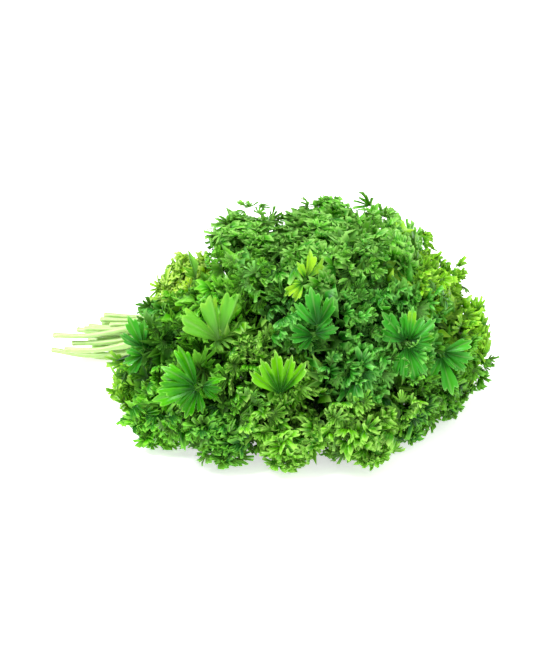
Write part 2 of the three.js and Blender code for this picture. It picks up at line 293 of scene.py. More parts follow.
@dataclass
class Sprig:
    """One leafy sprig: its ray from the fan point, its room and its leaflets' seats.

    Args:
        number: Number of the sprig, from 1.
        direction: Unit vector along its ray.
        leaf_start: Distance of the leaf's foot from the fan point.
        rib_top: Distance of the midrib's end from there.
        centre: Point that its leaflets are pressed towards.
        wall_normals: Unit normals of the flat walls round its room.
        wall_offsets: How far along its normal each wall lies.
        half_angle: Half of the room's angle at the fan point, in radians.
        tip: Distance of its tip from the fan point.
        seats: Seats of its leaflets.
        hollows: Middle and size of each hollow that it fills.
        longer: How much longer it is than the plan says.
    """

    number: int
    direction: np.ndarray
    leaf_start: float
    rib_top: float
    centre: np.ndarray
    wall_normals: np.ndarray
    wall_offsets: np.ndarray
    half_angle: float
    tip: float
    seats: list[Seat] = field(default_factory=list)
    hollows: list[tuple[np.ndarray, float]] = field(default_factory=list)
    longer: float = 0.0

    def lengthen(self, more: float) -> None:
        """Moves the leaflets and the tip further out along the midrib.

        Args:
            more: How far, in millimetres. A negative number moves them in.
        """
        self.longer += more
        self.tip += more
        self.rib_top += more
        for seat in self.seats:
            seat.root = seat.root + self.direction * more


class Growth:
    """Grows the sprigs of a plan, in the order in which the CAD model grows them."""

    # How many neighbours set the angle of a sprig's room
    NEIGHBOURS = 4
    # How far the midrib goes past the uppermost whorl, in millimetres
    RIB_OVERRUN = 1.0
    # What counts as nothing
    TOLERANCE = 1e-9

    def __init__(self, plan: GrowthPlan) -> None:
        """Starts the draws of a plan.

        Args:
            plan: Driving dimensions of the bunch.
        """
        self.plan = plan
        self.draws = Draws(plan.seed)
        self.fan = np.array(plan.fan_point)

    def tips(self) -> list[np.ndarray]:
        """Places the tips of the sprigs on the mound.

        Returns:
            The tips, in millimetres, from the lowest ring up.
        """
        plan, draws = self.plan, self.draws
        tips = []
        for ring in plan.rings:
            for k in range(ring.count):
                along = (2 * k + 1 - ring.count) / max(ring.count - 1, 1)
                angle = math.radians(along * ring.half_arc + draws.jitter(plan.angle_jitter))
                height = ring.height + draws.jitter(plan.height_jitter)
                level = min(height / plan.height, 1)
                slope = (1 - level ** plan.fullness) ** (1 / plan.fullness)
                reach = slope + draws.jitter(plan.reach_jitter)
                turned_by = angle - math.radians(plan.turn)
                oval = math.hypot(
                    math.cos(turned_by) / plan.half_long, math.sin(turned_by) / plan.half_short
                )
                tip = np.array([math.cos(angle), math.sin(angle), 0.0]) * (reach / oval)
                tip = tip + np.array(plan.centre) + np.array(plan.lean) * level
                tip[2] = min(height, plan.height)
                tips.append(tip)
        return tips

    def walls(self, directions: list[np.ndarray], i: int,
              leaf_start: float) -> tuple[np.ndarray, np.ndarray]:
        """Parts one sprig from the others, from the bundle of stems and from its own stem.

        Args:
            directions: Unit vectors along the rays of all sprigs.
            i: Index of the sprig among them.
            leaf_start: Distance of its leaf's foot from the fan point.

        Returns:
            Normals and offsets of the flat walls. The last wall is the one at the leaf's foot.
        """
        plan = self.plan
        inset = plan.join_gap / 2 + plan.blade / 2 + plan.wall_slack
        others = [d for j, d in enumerate(directions) if j != i] + [unit(np.array(plan.bundle))]
        normals = [unit(directions[i] - other) for other in others]
        offsets = [normal @ self.fan + inset for normal in normals]
        normals.append(directions[i])
        offsets.append(directions[i] @ self.fan + leaf_start + plan.blade)
        return np.array(normals), np.array(offsets)

    def seats(self, direction: np.ndarray, start: float, tip: float,
              half_angle: float) -> list[Seat]:
        """Seats the leaflets of one sprig round its midrib.

        Args:
            direction: Unit vector along the sprig's ray.
            start: Distance of the leaf's foot from the fan point.
            tip: Distance of the tip from there.
            half_angle: Half of the room's angle, in radians.

        Returns:
            The seats, whorl by whorl from the tip down.
        """
        plan, draws = self.plan, self.draws
        sideways = unit(np.cross([0, 0, 1.0], direction))
        upward = np.cross(direction, sideways)
        drawn = draws.draw() * 360
        resting = self.fan[2] + direction[2] * tip < plan.table_sprig
        turn = -90 - plan.whorl_turn if resting else drawn
        depth = tip - start
        seats = []
        for w, whorl in enumerate(plan.whorls[:2 if depth < plan.short_leaf else 3]):
            distance = tip - whorl.down * min(1, depth / plan.leaf_depth)
            room = plan.whorl_fill * (distance + plan.whorl_room) * math.tan(half_angle)
            step = 360 / whorl.count
            for k in range(whorl.count):
                lean = math.radians(whorl.lean + draws.jitter(plan.lean_jitter))
                shift = draws.jitter(plan.azimuth_jitter * step)
                azimuth = math.radians(turn + plan.whorl_turn * w + step * k + shift)
                outward = sideways * math.cos(azimuth) + upward * math.sin(azimuth)
                along = direction * math.cos(lean) + outward * math.sin(lean)
                across = np.cross(direction, outward)
                size = min(max(room * whorl.size, plan.least_size), plan.most_size)
                size *= 1 + draws.jitter(plan.size_jitter)
                # The curl of the CAD leaflet isn't needed, but its draw keeps the others in step
                draws.jitter(plan.curl_jitter)
                seats.append(Seat(
                    root=self.fan + direction * distance, outward=outward, along=along,
                    across=across, face=np.cross(along, across), stalk=room * whorl.stalk,
                    size=size, whorl=w,
                ))
        return seats

    def grow(self) -> list[Sprig]:
        """Grows every sprig of the bunch.

        Returns:
            The sprigs, in the order of their numbers.
        """
        plan = self.plan
        tips = self.tips()
        directions = [unit(tip - self.fan) for tip in tips]
        # The cut ends are read from the CAD stems, but their draws keep the others in step
        for _ in tips:
            self.draws.jitter(plan.cut_spread)
        sprigs = []
        for i, tip in enumerate(tips):
            direction = directions[i]
            distance = float(np.linalg.norm(tip - self.fan))
            start = max(plan.fan_clear, distance - plan.leaf_depth)
            near = sorted(
                math.acos(min(1.0, float(d @ direction)))
                for j, d in enumerate(directions) if j != i
            )
            normals, offsets = self.walls(directions, i, start)
            spacing = min(1, (distance - start) / plan.leaf_depth)
            half_angle = sum(near[:self.NEIGHBOURS]) / (2 * self.NEIGHBOURS)
            sprigs.append(Sprig(
                number=i + 1, direction=direction, leaf_start=start, tip=distance,
                rib_top=distance - plan.whorls[0].down * spacing + self.RIB_OVERRUN,
                centre=self.fan + direction * (start + plan.hub * (distance - start)),
                wall_normals=normals, wall_offsets=offsets, half_angle=half_angle,
                seats=self.seats(direction, start, distance, half_angle),
            ))
        return sprigs

    def find_hollows(self, sprigs: list[Sprig]) -> None:
        """Notes each hollow between three tips, at the one whose tip the plan puts furthest out.

        Args:
            sprigs: All sprigs, whose lists of hollows are added to.
        """
        plan = self.plan
        rays = np.array([sprig.direction for sprig in sprigs])
        for trio in itertools.combinations(sprigs, 3):
            first, second, third = (sprig.direction for sprig in trio)
            axis = np.cross(second - first, third - first)
            axis = unit(axis) * np.sign(axis @ first)
            near = float(axis @ first)
            is_wide = near < math.cos(plan.hollow_angle)
            if is_wide or np.max(rays @ axis) > near + self.TOLERANCE:
                continue
            ends = [sprig.direction * sprig.tip for sprig in trio]
            level = np.cross(ends[1] - ends[0], ends[2] - ends[0])
            reach = float(level @ ends[0]) / float(level @ axis)
            middle = self.fan + axis * reach
            least, most = plan.hollow_sizes
            size = min(max(plan.hollow_fill * reach * math.sqrt(1 - near ** 2), least), most)
            if middle[2] > plan.hollow_floor:
                owner = max(trio, key=lambda sprig: sprig.tip - sprig.longer)
                owner.hollows.append((middle, size))

    def press(self, sprig: Sprig, points: np.ndarray, deeper: float = 0.0) -> np.ndarray:
        """Moves points into the room of a sprig, and down onto the table where they are low.

        Args:
            sprig: The sprig whose walls hold the points.
            points: Points in millimetres, the last axis being x, y and z.
            deeper: How much further in than the leaf's foot the room goes, in millimetres.

        Returns:
            The moved points, in the same shape.
        """
        plan = self.plan
        ray = points - self.fan
        far = np.linalg.norm(ray, axis=-1)
        over = np.maximum(far - (sprig.tip - plan.tip_slack), 0)
        rested = self.fan + ray * ((far - plan.draw_in * over) / far)[..., None]
        rested[..., 2] -= plan.draw_in * np.maximum(rested[..., 2] - plan.ceiling, 0)
        low = (rested[..., 2] - plan.deepest) / (plan.settle_up_to - plan.deepest)
        settled = np.clip(low, 0, 1) ** plan.settle_power
        sunk = plan.table + (plan.settle_up_to - plan.table) * settled
        rested[..., 2] = np.where(low < 1, sunk, rested[..., 2])
        ray = rested - sprig.centre
        offsets = sprig.wall_offsets - plan.mingle
        offsets[-1] -= deeper - plan.mingle
        wall = sprig.wall_normals @ sprig.centre - offsets
        reach = np.max(-(ray @ sprig.wall_normals.T) / wall, axis=-1)
        reach = np.maximum(reach, self.TOLERANCE)
        span = 2 * (plan.press_full - plan.press_free)
        eased = reach - (reach - plan.press_free) ** 2 / span
        pressed = np.where(reach >= plan.press_full, 1.0, eased)
        pressed = np.where(reach <= plan.press_free, reach, pressed)
        moved = sprig.centre + ray * (pressed / reach)[..., None]
        moved[..., 2] = np.maximum(moved[..., 2], plan.table)
        return moved


# Meshes


@dataclass
class MeshParts:
    """Points, quads and point attributes that are gathered into one mesh.

    Args:
        points: Arrays of points, in millimetres, one for each patch.
        quads: Arrays of quads, numbered through all the patches.
        values: For each attribute, arrays of values, one for each patch.
        count: How many points there are.
    """

    points: list[np.ndarray] = field(default_factory=list)
    quads: list[np.ndarray] = field(default_factory=list)
    values: dict[str, list[np.ndarray]] = field(default_factory=dict)
    count: int = 0

    def add(self, points: np.ndarray, quads: np.ndarray, **values: np.ndarray | float) -> None:
        """Adds a patch.

        Args:
            points: Its points.
            quads: Its quads, numbered from 0.
            **values: One value a point for each attribute, or one for all of them.
        """
        self.points.append(points)
        self.quads.append(quads + self.count)
        self.count += len(points)
        for name, value in values.items():
            spread = np.broadcast_to(np.asarray(value, float), (len(points),))
            self.values.setdefault(name, []).append(spread)

    def build(self, name: str, origin: np.ndarray) -> bpy.types.Object:
        """Makes the object, in metres, with its attributes.

        Args:
            name: Name of the object and its mesh.
            origin: The frame's origin in the plan's millimetres.

        Returns:
            The new object, linked to the scene.
        """
        points = (np.concatenate(self.points) - origin) * MM
        quads = np.concatenate(self.quads)
        mesh = bpy.data.meshes.new(name)
        mesh.vertices.add(len(points))
        mesh.vertices.foreach_set("co", points.astype(np.float32).ravel())
        mesh.loops.add(quads.size)
        mesh.loops.foreach_set("vertex_index", quads.astype(np.int32).ravel())
        mesh.polygons.add(len(quads))
        mesh.polygons.foreach_set("loop_start", np.arange(0, quads.size, 4, dtype=np.int32))
        for key, parts in self.values.items():
            attribute = mesh.attributes.new(key, "FLOAT", "POINT")
            attribute.data.foreach_set("value", np.concatenate(parts).astype(np.float32))
        mesh.update(calc_edges=True)
        mesh.validate()
        mesh.shade_smooth()
        piece = bpy.data.objects.new(name, mesh)
        bpy.context.scene.collection.objects.link(piece)
        return piece


def grid_quads(rows: int, columns: int, patches: int = 1, closed: bool = False) -> np.ndarray:
    """Numbers the quads of patches whose points lie in rows.

    Args:
        rows: Rows of points in a patch.
        columns: Points in a row.
        patches: How many patches follow one another.
        closed: Whether the last column joins the first one.

    Returns:
        Four point numbers for each quad.
    """
    last = columns if closed else columns - 1
    r, c = np.meshgrid(np.arange(rows - 1), np.arange(last), indexing="ij")
    n = (c + 1) % columns
    quads = np.stack(
        [r * columns + c, r * columns + n, (r + 1) * columns + n, (r + 1) * columns + c], -1
    ).reshape(-1, 4)
    shift = np.arange(patches)[:, None, None] * (rows * columns)
    return (quads[None] + shift).reshape(-1, 4)


def tube_points(path: np.ndarray, radii: np.ndarray, sides: int, rib: float = 0.0) -> np.ndarray:
    """Lays rings of points round a path, each ring square to it.

    Args:
        path: Points along the middle, in order.
        radii: Radius at each of them.
        sides: Points in a ring.
        rib: Depth of the five lengthwise ribs of a parsley stalk as a share of the radius.

    Returns:
        The rings one after another.
    """
    ribs_round = 5
    tangents = unit(np.gradient(path, axis=0))
    side = np.array([0.0, 0.0, 1.0])
    rings = []
    turn = 2 * np.pi * (np.arange(sides) + 0.5) / sides
    swell = 1 + rib * np.cos(ribs_round * turn)
    for point, tangent, radius in zip(path, tangents, radii):
        side = unit(side - tangent * (side @ tangent))
        other = np.cross(tangent, side)
        ring = np.outer(np.cos(turn), side) + np.outer(np.sin(turn), other)
        rings.append(point + ring * (radius * swell)[:, None])
    return np.concatenate(rings)


# Leaflets


class Form(Enum):
    """How the leaflets of a sprig look, as the share of them that are broad flat fans."""

    CRISPED = 0.0
    MIXED = 0.25
    FANNED = 0.65


@dataclass(frozen=True)
class LobeShape:
    """The outline and sampling of one fan-shaped lobule.

    Args:
        lobes: Main lobes of the fan.
        teeth: Teeth on each of them.
        samples: Points on the edge for each tooth.
        rows: Points from the base to the edge.
        half_angle: Half of the fan's angle, in degrees.
        notch: Depth of the cuts between lobes as a share of the length.
        tooth: Depth of the cuts between teeth, the same way.
        cut: How narrow the cuts between lobes are: a power, higher for narrower cuts.
        unrest: How much the lobes of one fan differ in curl, length and tone.
        taper: How much shorter the outer lobes are than the middle one.
        margin: How narrow the pale margin with painted highlight is: a power, 1 for a wide one.
        fade: How much lighter the edge is than the base.
        valley: How dark the painted shade between lobes is, from 0.6 for even ones to 1.
    """

    lobes: int
    teeth: int
    samples: int
    rows: int
    half_angle: float
    notch: float
    tooth: float
    cut: float = 5.0
    unrest: float = 0.45
    taper: float = 0.22
    margin: float = 1.0
    fade: float = 0.0
    valley: float = 1.0

    def columns(self) -> int:
        """Returns how many points lie along the edge."""
        return self.lobes * self.teeth * self.samples + 1


CRISP_LOBE = LobeShape(
    lobes=5, teeth=2, samples=2, rows=4, half_angle=84, notch=0.52, tooth=0.14, cut=2.2)
FRILL_LOBE = LobeShape(
    lobes=7, teeth=2, samples=2, rows=4, half_angle=86, notch=0.5, tooth=0.16, cut=2.4,
    unrest=0.4)
INNER_LOBE = LobeShape(
    lobes=4, teeth=2, samples=1, rows=3, half_angle=78, notch=0.4, tooth=0.2, cut=2.2)
FAN_LOBE = LobeShape(
    lobes=5, teeth=3, samples=3, rows=7, half_angle=70, notch=0.36, tooth=0.13, cut=4.0,
    unrest=0.3, margin=2.5)
BROAD_LOBE = LobeShape(
    lobes=5, teeth=3, samples=4, rows=12, half_angle=58, notch=0.16, tooth=0.09, cut=4.0,
    unrest=0.3, taper=0.2, margin=7.0, fade=1.3, valley=0.74)
DEEP_LOBE = LobeShape(
    lobes=3, teeth=3, samples=6, rows=12, half_angle=60, notch=0.45, tooth=0.14, cut=5.0,
    unrest=0.4, taper=0.28, margin=7.0, fade=1.3, valley=0.85)


@dataclass(frozen=True)
class Spray:
    """How a leaflet branches into lobules.

    Args:
        lobe: Shape of the lobules.
        places: For each lobule, the turn of its branch in the leaflet's plane in degrees, how far
            along the branch it sits, its lift in degrees and its length. Lengths are shares of
            the branch's length.
        scale: Length of a branch as a share of the CAD leaflet's length.
    """

    lobe: LobeShape
    places: tuple[tuple[float, ...], ...]
    scale: float


def cushion(count: int, length: float, sweep: float = 92.0) -> tuple[tuple[float, ...], ...]:
    """Returns places for lobules spread evenly over a leaflet as a frilled cushion.

    Args:
        count: How many lobules.
        length: Length of each as a share of the branch's length.
        sweep: How far they spread to each side of the leaflet's length, in degrees.

    Returns:
        Turn, share along the branch, lift and length of each place.
    """
    golden = 0.618034
    steepest = 38
    places = []
    for k in range(count):
        turn = ((k * golden) % 1 * 2 - 1) * sweep
        share = 0.06 + 0.74 * math.sqrt((k + 0.5) / count)
        lift = steepest * ((k * golden * golden) % 1)
        places.append((turn, share, lift, length))
    return tuple(places)


FRILL_SPRAY = Spray(FRILL_LOBE, cushion(12, 0.52), scale=1.1)
CRISP_SPRAY = Spray(CRISP_LOBE, cushion(7, 0.36), scale=1.12)
LOWER_SPRAY = Spray(FRILL_LOBE, cushion(8, 0.52), scale=1.1)
HOLLOW_SPRAY = Spray(FRILL_LOBE, cushion(9, 0.6, 180.0), scale=0.9)
INNER_SPRAY = Spray(INNER_LOBE, (
    (-50, 0.2, 0, 0.9), (50, 0.2, 0, 0.9), (0, 0.45, 0, 0.8), (0, 0.1, 50, 0.8),
), scale=1.2)
CORE_SPRAY = Spray(INNER_LOBE, cushion(5, 0.8, 180.0) + ((0.0, -0.6, 0.0, 1.1),), scale=1.1)


# Ways across the front of the bunch, for what is placed on it one by one: right, up and out
FRONT = np.array([(0.64, 0.77, 0.0), (-0.29, 0.24, 0.93), (0.71, -0.60, 0.37)])


@dataclass(frozen=True)
class BroadLeaflet:
    """A broad smooth fan that stands out from the crisped leaflets round it.

    Args:
        right: How far right of the sprig's tip its base lies, in millimetres.
        up: How far above the tip, the same way.
        out: How far in front of the tip.
        turn: Which way it points across the front, in degrees anticlockwise from the right.
        tilt: Lift of its tip towards the front, in degrees.
        roll: Turn about its own length, in degrees.
        length: Its length in millimetres.
        tone: How light it is, from 0 to 1, or up to 3 where it is young and yellow-green.
        shade: How deep in the shade of its neighbours it lies, from 0 to 1.
        curl: Curl of its tip, in radians.
        deep: Whether its lobes are cut deeply.
    """

    right: float
    up: float
    out: float
    turn: float
    tilt: float
    roll: float
    length: float
    tone: float
    shade: float
    curl: float = 0.3
    deep: bool = False


BROAD_LEAFLETS = {
    13: (BroadLeaflet(-7.5, 0, 2, 97, 26, 0, 17, 0.5, 0.26, -0.4),),
    21: (
        BroadLeaflet(2, 1, 1, 100, 26, 0, 18, 0.35, 0.26, -0.5, True),
        BroadLeaflet(1, -2, 0, 8, 18, 15, 12, 0.3, 0.30, -0.6, True),
        BroadLeaflet(0, -3, 0, 195, 14, -15, 11, 0.2, 0.32, -0.6, True),
    ),
    12: (
        BroadLeaflet(-1, -1, 0, 146, 24, 10, 18, 0.2, 0.28, -0.7, True),
        BroadLeaflet(-1, -2, 1, 192, 18, 5, 15, 0.1, 0.30, -0.7, True),
        BroadLeaflet(0, -3, 0, 240, 18, 10, 12, 0.1, 0.32, -0.7, True),
        BroadLeaflet(2, -1, 0, -18, 16, 10, 9, 0.2, 0.30, -0.7, True),
    ),
    20: (BroadLeaflet(2, -11, 2, 101, 22, 215, 23, 1.2, 0.18, 0.4, True),),
    27: (
        BroadLeaflet(-9, -7, 5, 68, 24, 35, 12, 1.9, 0.14, -0.4, True),
        BroadLeaflet(-10, -9, 4, 205, 16, 20, 9, 1.8, 0.16, -0.5, True),
    ),
    15: (
        BroadLeaflet(0, 2, -1, -15, 18, 10, 13, 0.6, 0.2, -0.7, True),
        BroadLeaflet(-1, 0, -1, -72, 22, -10, 13, 0.6, 0.2, -0.7, True),
    ),
    22: (
        BroadLeaflet(1, -13, 1, 62, 24, 0, 15, 0.8, 0.2, -0.6),
        BroadLeaflet(-1, -13, 1, 126, 22, 0, 13, 0.6, 0.22, -0.6, True),
        BroadLeaflet(0, -15, 1, -76, 20, 0, 16, 0.8, 0.2, -0.7),
        BroadLeaflet(2, -14, 1, -12, 18, 0, 12, 0.6, 0.22, -0.7, True),
    ),
    11: (
        BroadLeaflet(0, 0, -1, 120, 22, 0, 12, 0.4, 0.26, -0.7, True),
        BroadLeaflet(0, -4, -1, 200, 20, 0, 11, 0.4, 0.26, -0.7, True),
    ),
}


# Crisped leaflets that fill out the top and close gaps: how far right of the sprig's tip, above it
# and in front of it the middle of each lies, and its size, in millimetres
OUTER_TUFTS = {
    12: ((20.0, 3.0, -9.0, 13.0),),
    13: ((-24.0, 6.0, -15.0, 14.0),),
    20: ((15.0, 14.0, -8.0, 13.0), (14.0, 13.0, -16.0, 14.0)),
    25: ((6.0, 0.0, -3.0, 13.0), (12.0, -3.0, -5.0, 12.0)),
    26: ((8.0, -2.0, -3.0, 12.0),),
    27: ((13.0, 0.0, -4.0, 13.0),),
}


@dataclass
class LobeBatch:
    """Many lobules of one shape: one row of every array for each lobule.

    Args:
        base: Where it starts.
        along: Unit vector along it.
        across: Unit vector across it.
        face: Unit vector out of the side that it curls towards.
        length: Its length in millimetres.
        curl: How far its edge curls, in radians.
        pleat: How high the cuts between its lobes stand, as a share of its length.
        ruffle: Height of the waves along its edge, the same way.
        tone: How light it is, from 0 to 1.
    """

    base: np.ndarray
    along: np.ndarray
    across: np.ndarray
    face: np.ndarray
    length: np.ndarray
    curl: np.ndarray
    pleat: np.ndarray
    ruffle: np.ndarray
    tone: np.ndarray

    def pick(self, chosen: np.ndarray) -> "LobeBatch":
        """Returns the batch of the lobules for which chosen is true."""
        return LobeBatch(**{f.name: getattr(self, f.name)[chosen] for f in fields(self)})


@dataclass
class Lobules:
    """Turns batches of lobules into points, quads and attributes.

    Args:
        shape: Outline and sampling of the lobules.
        rng: Random numbers of their sprig.
        first_row: How far up its length a lobule starts, as a share.
        rounding: How much lower a lobe is at its sides than in its middle.
        tooth_power: How narrow the cuts between teeth are.
        length_unrest: How much of a shape's unrest goes into the lengths of lobes.
        angle_unrest: How much goes into their angles, in radians.
        tone_unrest: How much goes into their tones.
        curl_power: How late along the length the curl comes.
        waves: Waves of the edge for each radian of the fan.
        crease: Height of the creases between teeth as a share of that between lobes.
    """

    shape: LobeShape
    rng: np.random.Generator
    first_row: float = 0.05
    rounding: float = 0.1
    tooth_power: float = 1.6
    length_unrest: float = 0.35
    angle_unrest: float = 0.1
    tone_unrest: float = 0.5
    curl_power: float = 1.7
    waves: float = 9.0
    crease: float = 0.12

    def unrest(self, count: int, share: float = 1.0) -> np.ndarray:
        """Draws how much each lobe of each lobule differs from the others.

        Args:
            count: How many lobules.
            share: How much of the shape's unrest counts.

        Returns:
            A number for each lobule and lobe.
        """
        return share * self.shape.unrest * self.rng.standard_normal((count, self.shape.lobes))

    def surface(self, batch: LobeBatch) -> tuple[np.ndarray, dict[str, np.ndarray]]:
        """Shapes the lobules of a batch.

        Args:
            batch: The lobules.

        Returns:
            Their points, by lobule, row and column, and their point attributes.
        """
        shape = self.shape
        count = len(batch.base)
        columns = shape.columns()
        spread = np.linspace(-1, 1, columns)
        lobe_at = (spread + 1) / 2 * shape.lobes
        lobe = np.minimum(lobe_at.astype(int), shape.lobes - 1)
        in_lobe = lobe_at - lobe - 0.5
        tooth_at = (in_lobe + 0.5) * shape.teeth
        in_tooth = tooth_at - np.minimum(tooth_at.astype(int), shape.teeth - 1) - 0.5
        fold = np.abs(2 * in_lobe)
        vein = np.abs(2 * in_tooth)
        outline = 1 - self.rounding * fold - shape.notch * fold ** shape.cut
        outline = outline * (1 - shape.tooth * vein ** self.tooth_power)
        outline = outline * (1 - shape.taper * spread ** 2)
        lengths = 1 + self.unrest(count, self.length_unrest)
        reach = outline * lengths[:, lobe] * batch.length[:, None]
        theta = np.radians(shape.half_angle) * spread
        theta = theta + self.unrest(count, self.angle_unrest)[:, lobe]

        share = np.linspace(self.first_row, 1, shape.rows)
        lobe_curl = batch.curl[:, None] * (1 + self.unrest(count))
        bend = lobe_curl[:, lobe][:, None, :] * (share[:, None] ** self.curl_power)
        step = np.diff(share, prepend=0)[:, None]
        run = np.cumsum(np.cos(bend) * step, axis=1) * reach[:, None, :]
        rise = np.cumsum(np.sin(bend) * step, axis=1) * reach[:, None, :]
        own_tone = self.unrest(count, self.tone_unrest)[:, lobe]
        phase = self.rng.uniform(0, 2 * np.pi, (count, 1, 1))
        waves = np.sin(theta[:, None, :] * self.waves + phase) * batch.ruffle[:, None, None]
        crease = fold - 0.5 + self.crease * (vein - 0.5)
        rise = rise + share[:, None] * reach[:, None, :] * (
            batch.pleat[:, None, None] * crease + waves * share[:, None] ** 2
        )
        u = run * np.cos(theta)[:, None, :]
        v = run * np.sin(theta)[:, None, :]
        points = (
            batch.base[:, None, None]
            + u[..., None] * batch.along[:, None, None]
            + v[..., None] * batch.across[:, None, None]
            + rise[..., None] * batch.face[:, None, None]
        )
        whole = (count, shape.rows, columns)
        lighter = shape.fade * (share[:, None] - 0.5)
        values = {
            # rim lays the pale margin with its painted highlight
            "rim": np.broadcast_to(share[:, None] ** shape.margin, whole).ravel(),
            # reach places painted shade at a lobule's foot; fold places it between lobes, and the
            # veins
            "reach": np.broadcast_to(share[:, None], whole).ravel(),
            "fold": np.broadcast_to(fold * shape.valley, whole).ravel(),
            "tone": (batch.tone[:, None, None] + own_tone[:, None, :] + lighter).ravel(),
            "stalk": np.zeros(count * shape.rows * columns),
        }
        return points, values

    def quads(self, count: int) -> np.ndarray:
        """Returns the quads of that many lobules, which show on the side away from face."""
        return grid_quads(self.shape.rows, self.shape.columns(), count)


def turned(along: np.ndarray, across: np.ndarray, face: np.ndarray, yaw: np.ndarray,
           pitch: np.ndarray, roll: np.ndarray) -> tuple:
    """Turns frames about their face, then their across line, then their own length.

    Args:
        along: Unit vectors along each leaflet.
        across: Unit vectors across it.
        face: Unit vectors square to both.
        yaw: Turn in the leaflet's plane, in radians.
        pitch: Lift of its tip towards face.
        roll: Turn about its own length.

    Returns:
        The turned along, across and face vectors.
    """
    c, s = np.cos(yaw)[:, None], np.sin(yaw)[:, None]
    along, across = along * c + across * s, across * c - along * s
    c, s = np.cos(pitch)[:, None], np.sin(pitch)[:, None]
    along, face = along * c + face * s, face * c - along * s
    c, s = np.cos(roll)[:, None], np.sin(roll)[:, None]
    across, face = across * c + face * s, face * c - across * s
    return along, across, face


def gathered(seats: list[Seat], name: str, each: int) -> np.ndarray:
    """Gathers one measure of seats, repeated for what grows on each of them.

    Args:
        seats: The seats.
        name: The measure's name.
        each: How many times each seat's value comes.

    Returns:
        The values, one row for each.
    """
    return np.repeat(np.array([getattr(seat, name) for seat in seats]), each, axis=0)


def place(piece: bpy.types.Object, node: str, slot: str) -> None:
    """Hides a piece's CAD node and makes the piece ride on the body.

    Args:
        piece: The piece.
        node: Name of the CAD node.
        slot: Slot of that node. Not used.
    """
    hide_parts(node)
    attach(piece, "root")


@dataclass(frozen=True)
class Stalk:
    """Sizes of a thin round stalk inside a leaf.

    Args:
        foot: Radius at its foot, in millimetres.
        end: Radius at its end.
        rings: Rings of points along it.
        sides: Points in a ring.
        rib: Depth of its ribs as a share of the radius.
        stalk: How much it has the stalk's colour, from 0 to 1.
        tone: How light its green is.
    """

    foot: float
    end: float
    rings: int
    sides: int
    rib: float
    stalk: float
    tone: float = 0.5

    def add_to(self, parts: MeshParts, path: np.ndarray, depth: np.ndarray | float | None,
               leaf: "LeafPiece") -> None:
        """Adds the stalk to a leaf.

        Args:
            parts: The parts of the leaf.
            path: Points along its middle, one for each ring.
            depth: How deep in the shade it lies, or None to work it out from the leaf.
            leaf: The leaf.
        """
        radii = np.linspace(self.foot, self.end, self.rings)
        points = tube_points(path, radii, self.sides, rib=self.rib)
        shade = leaf.depth(points) if depth is None else depth
        parts.add(points, grid_quads(self.rings, self.sides, closed=True), rim=0, reach=1, fold=0,
                  tone=self.tone, stalk=self.stalk, depth=shade)


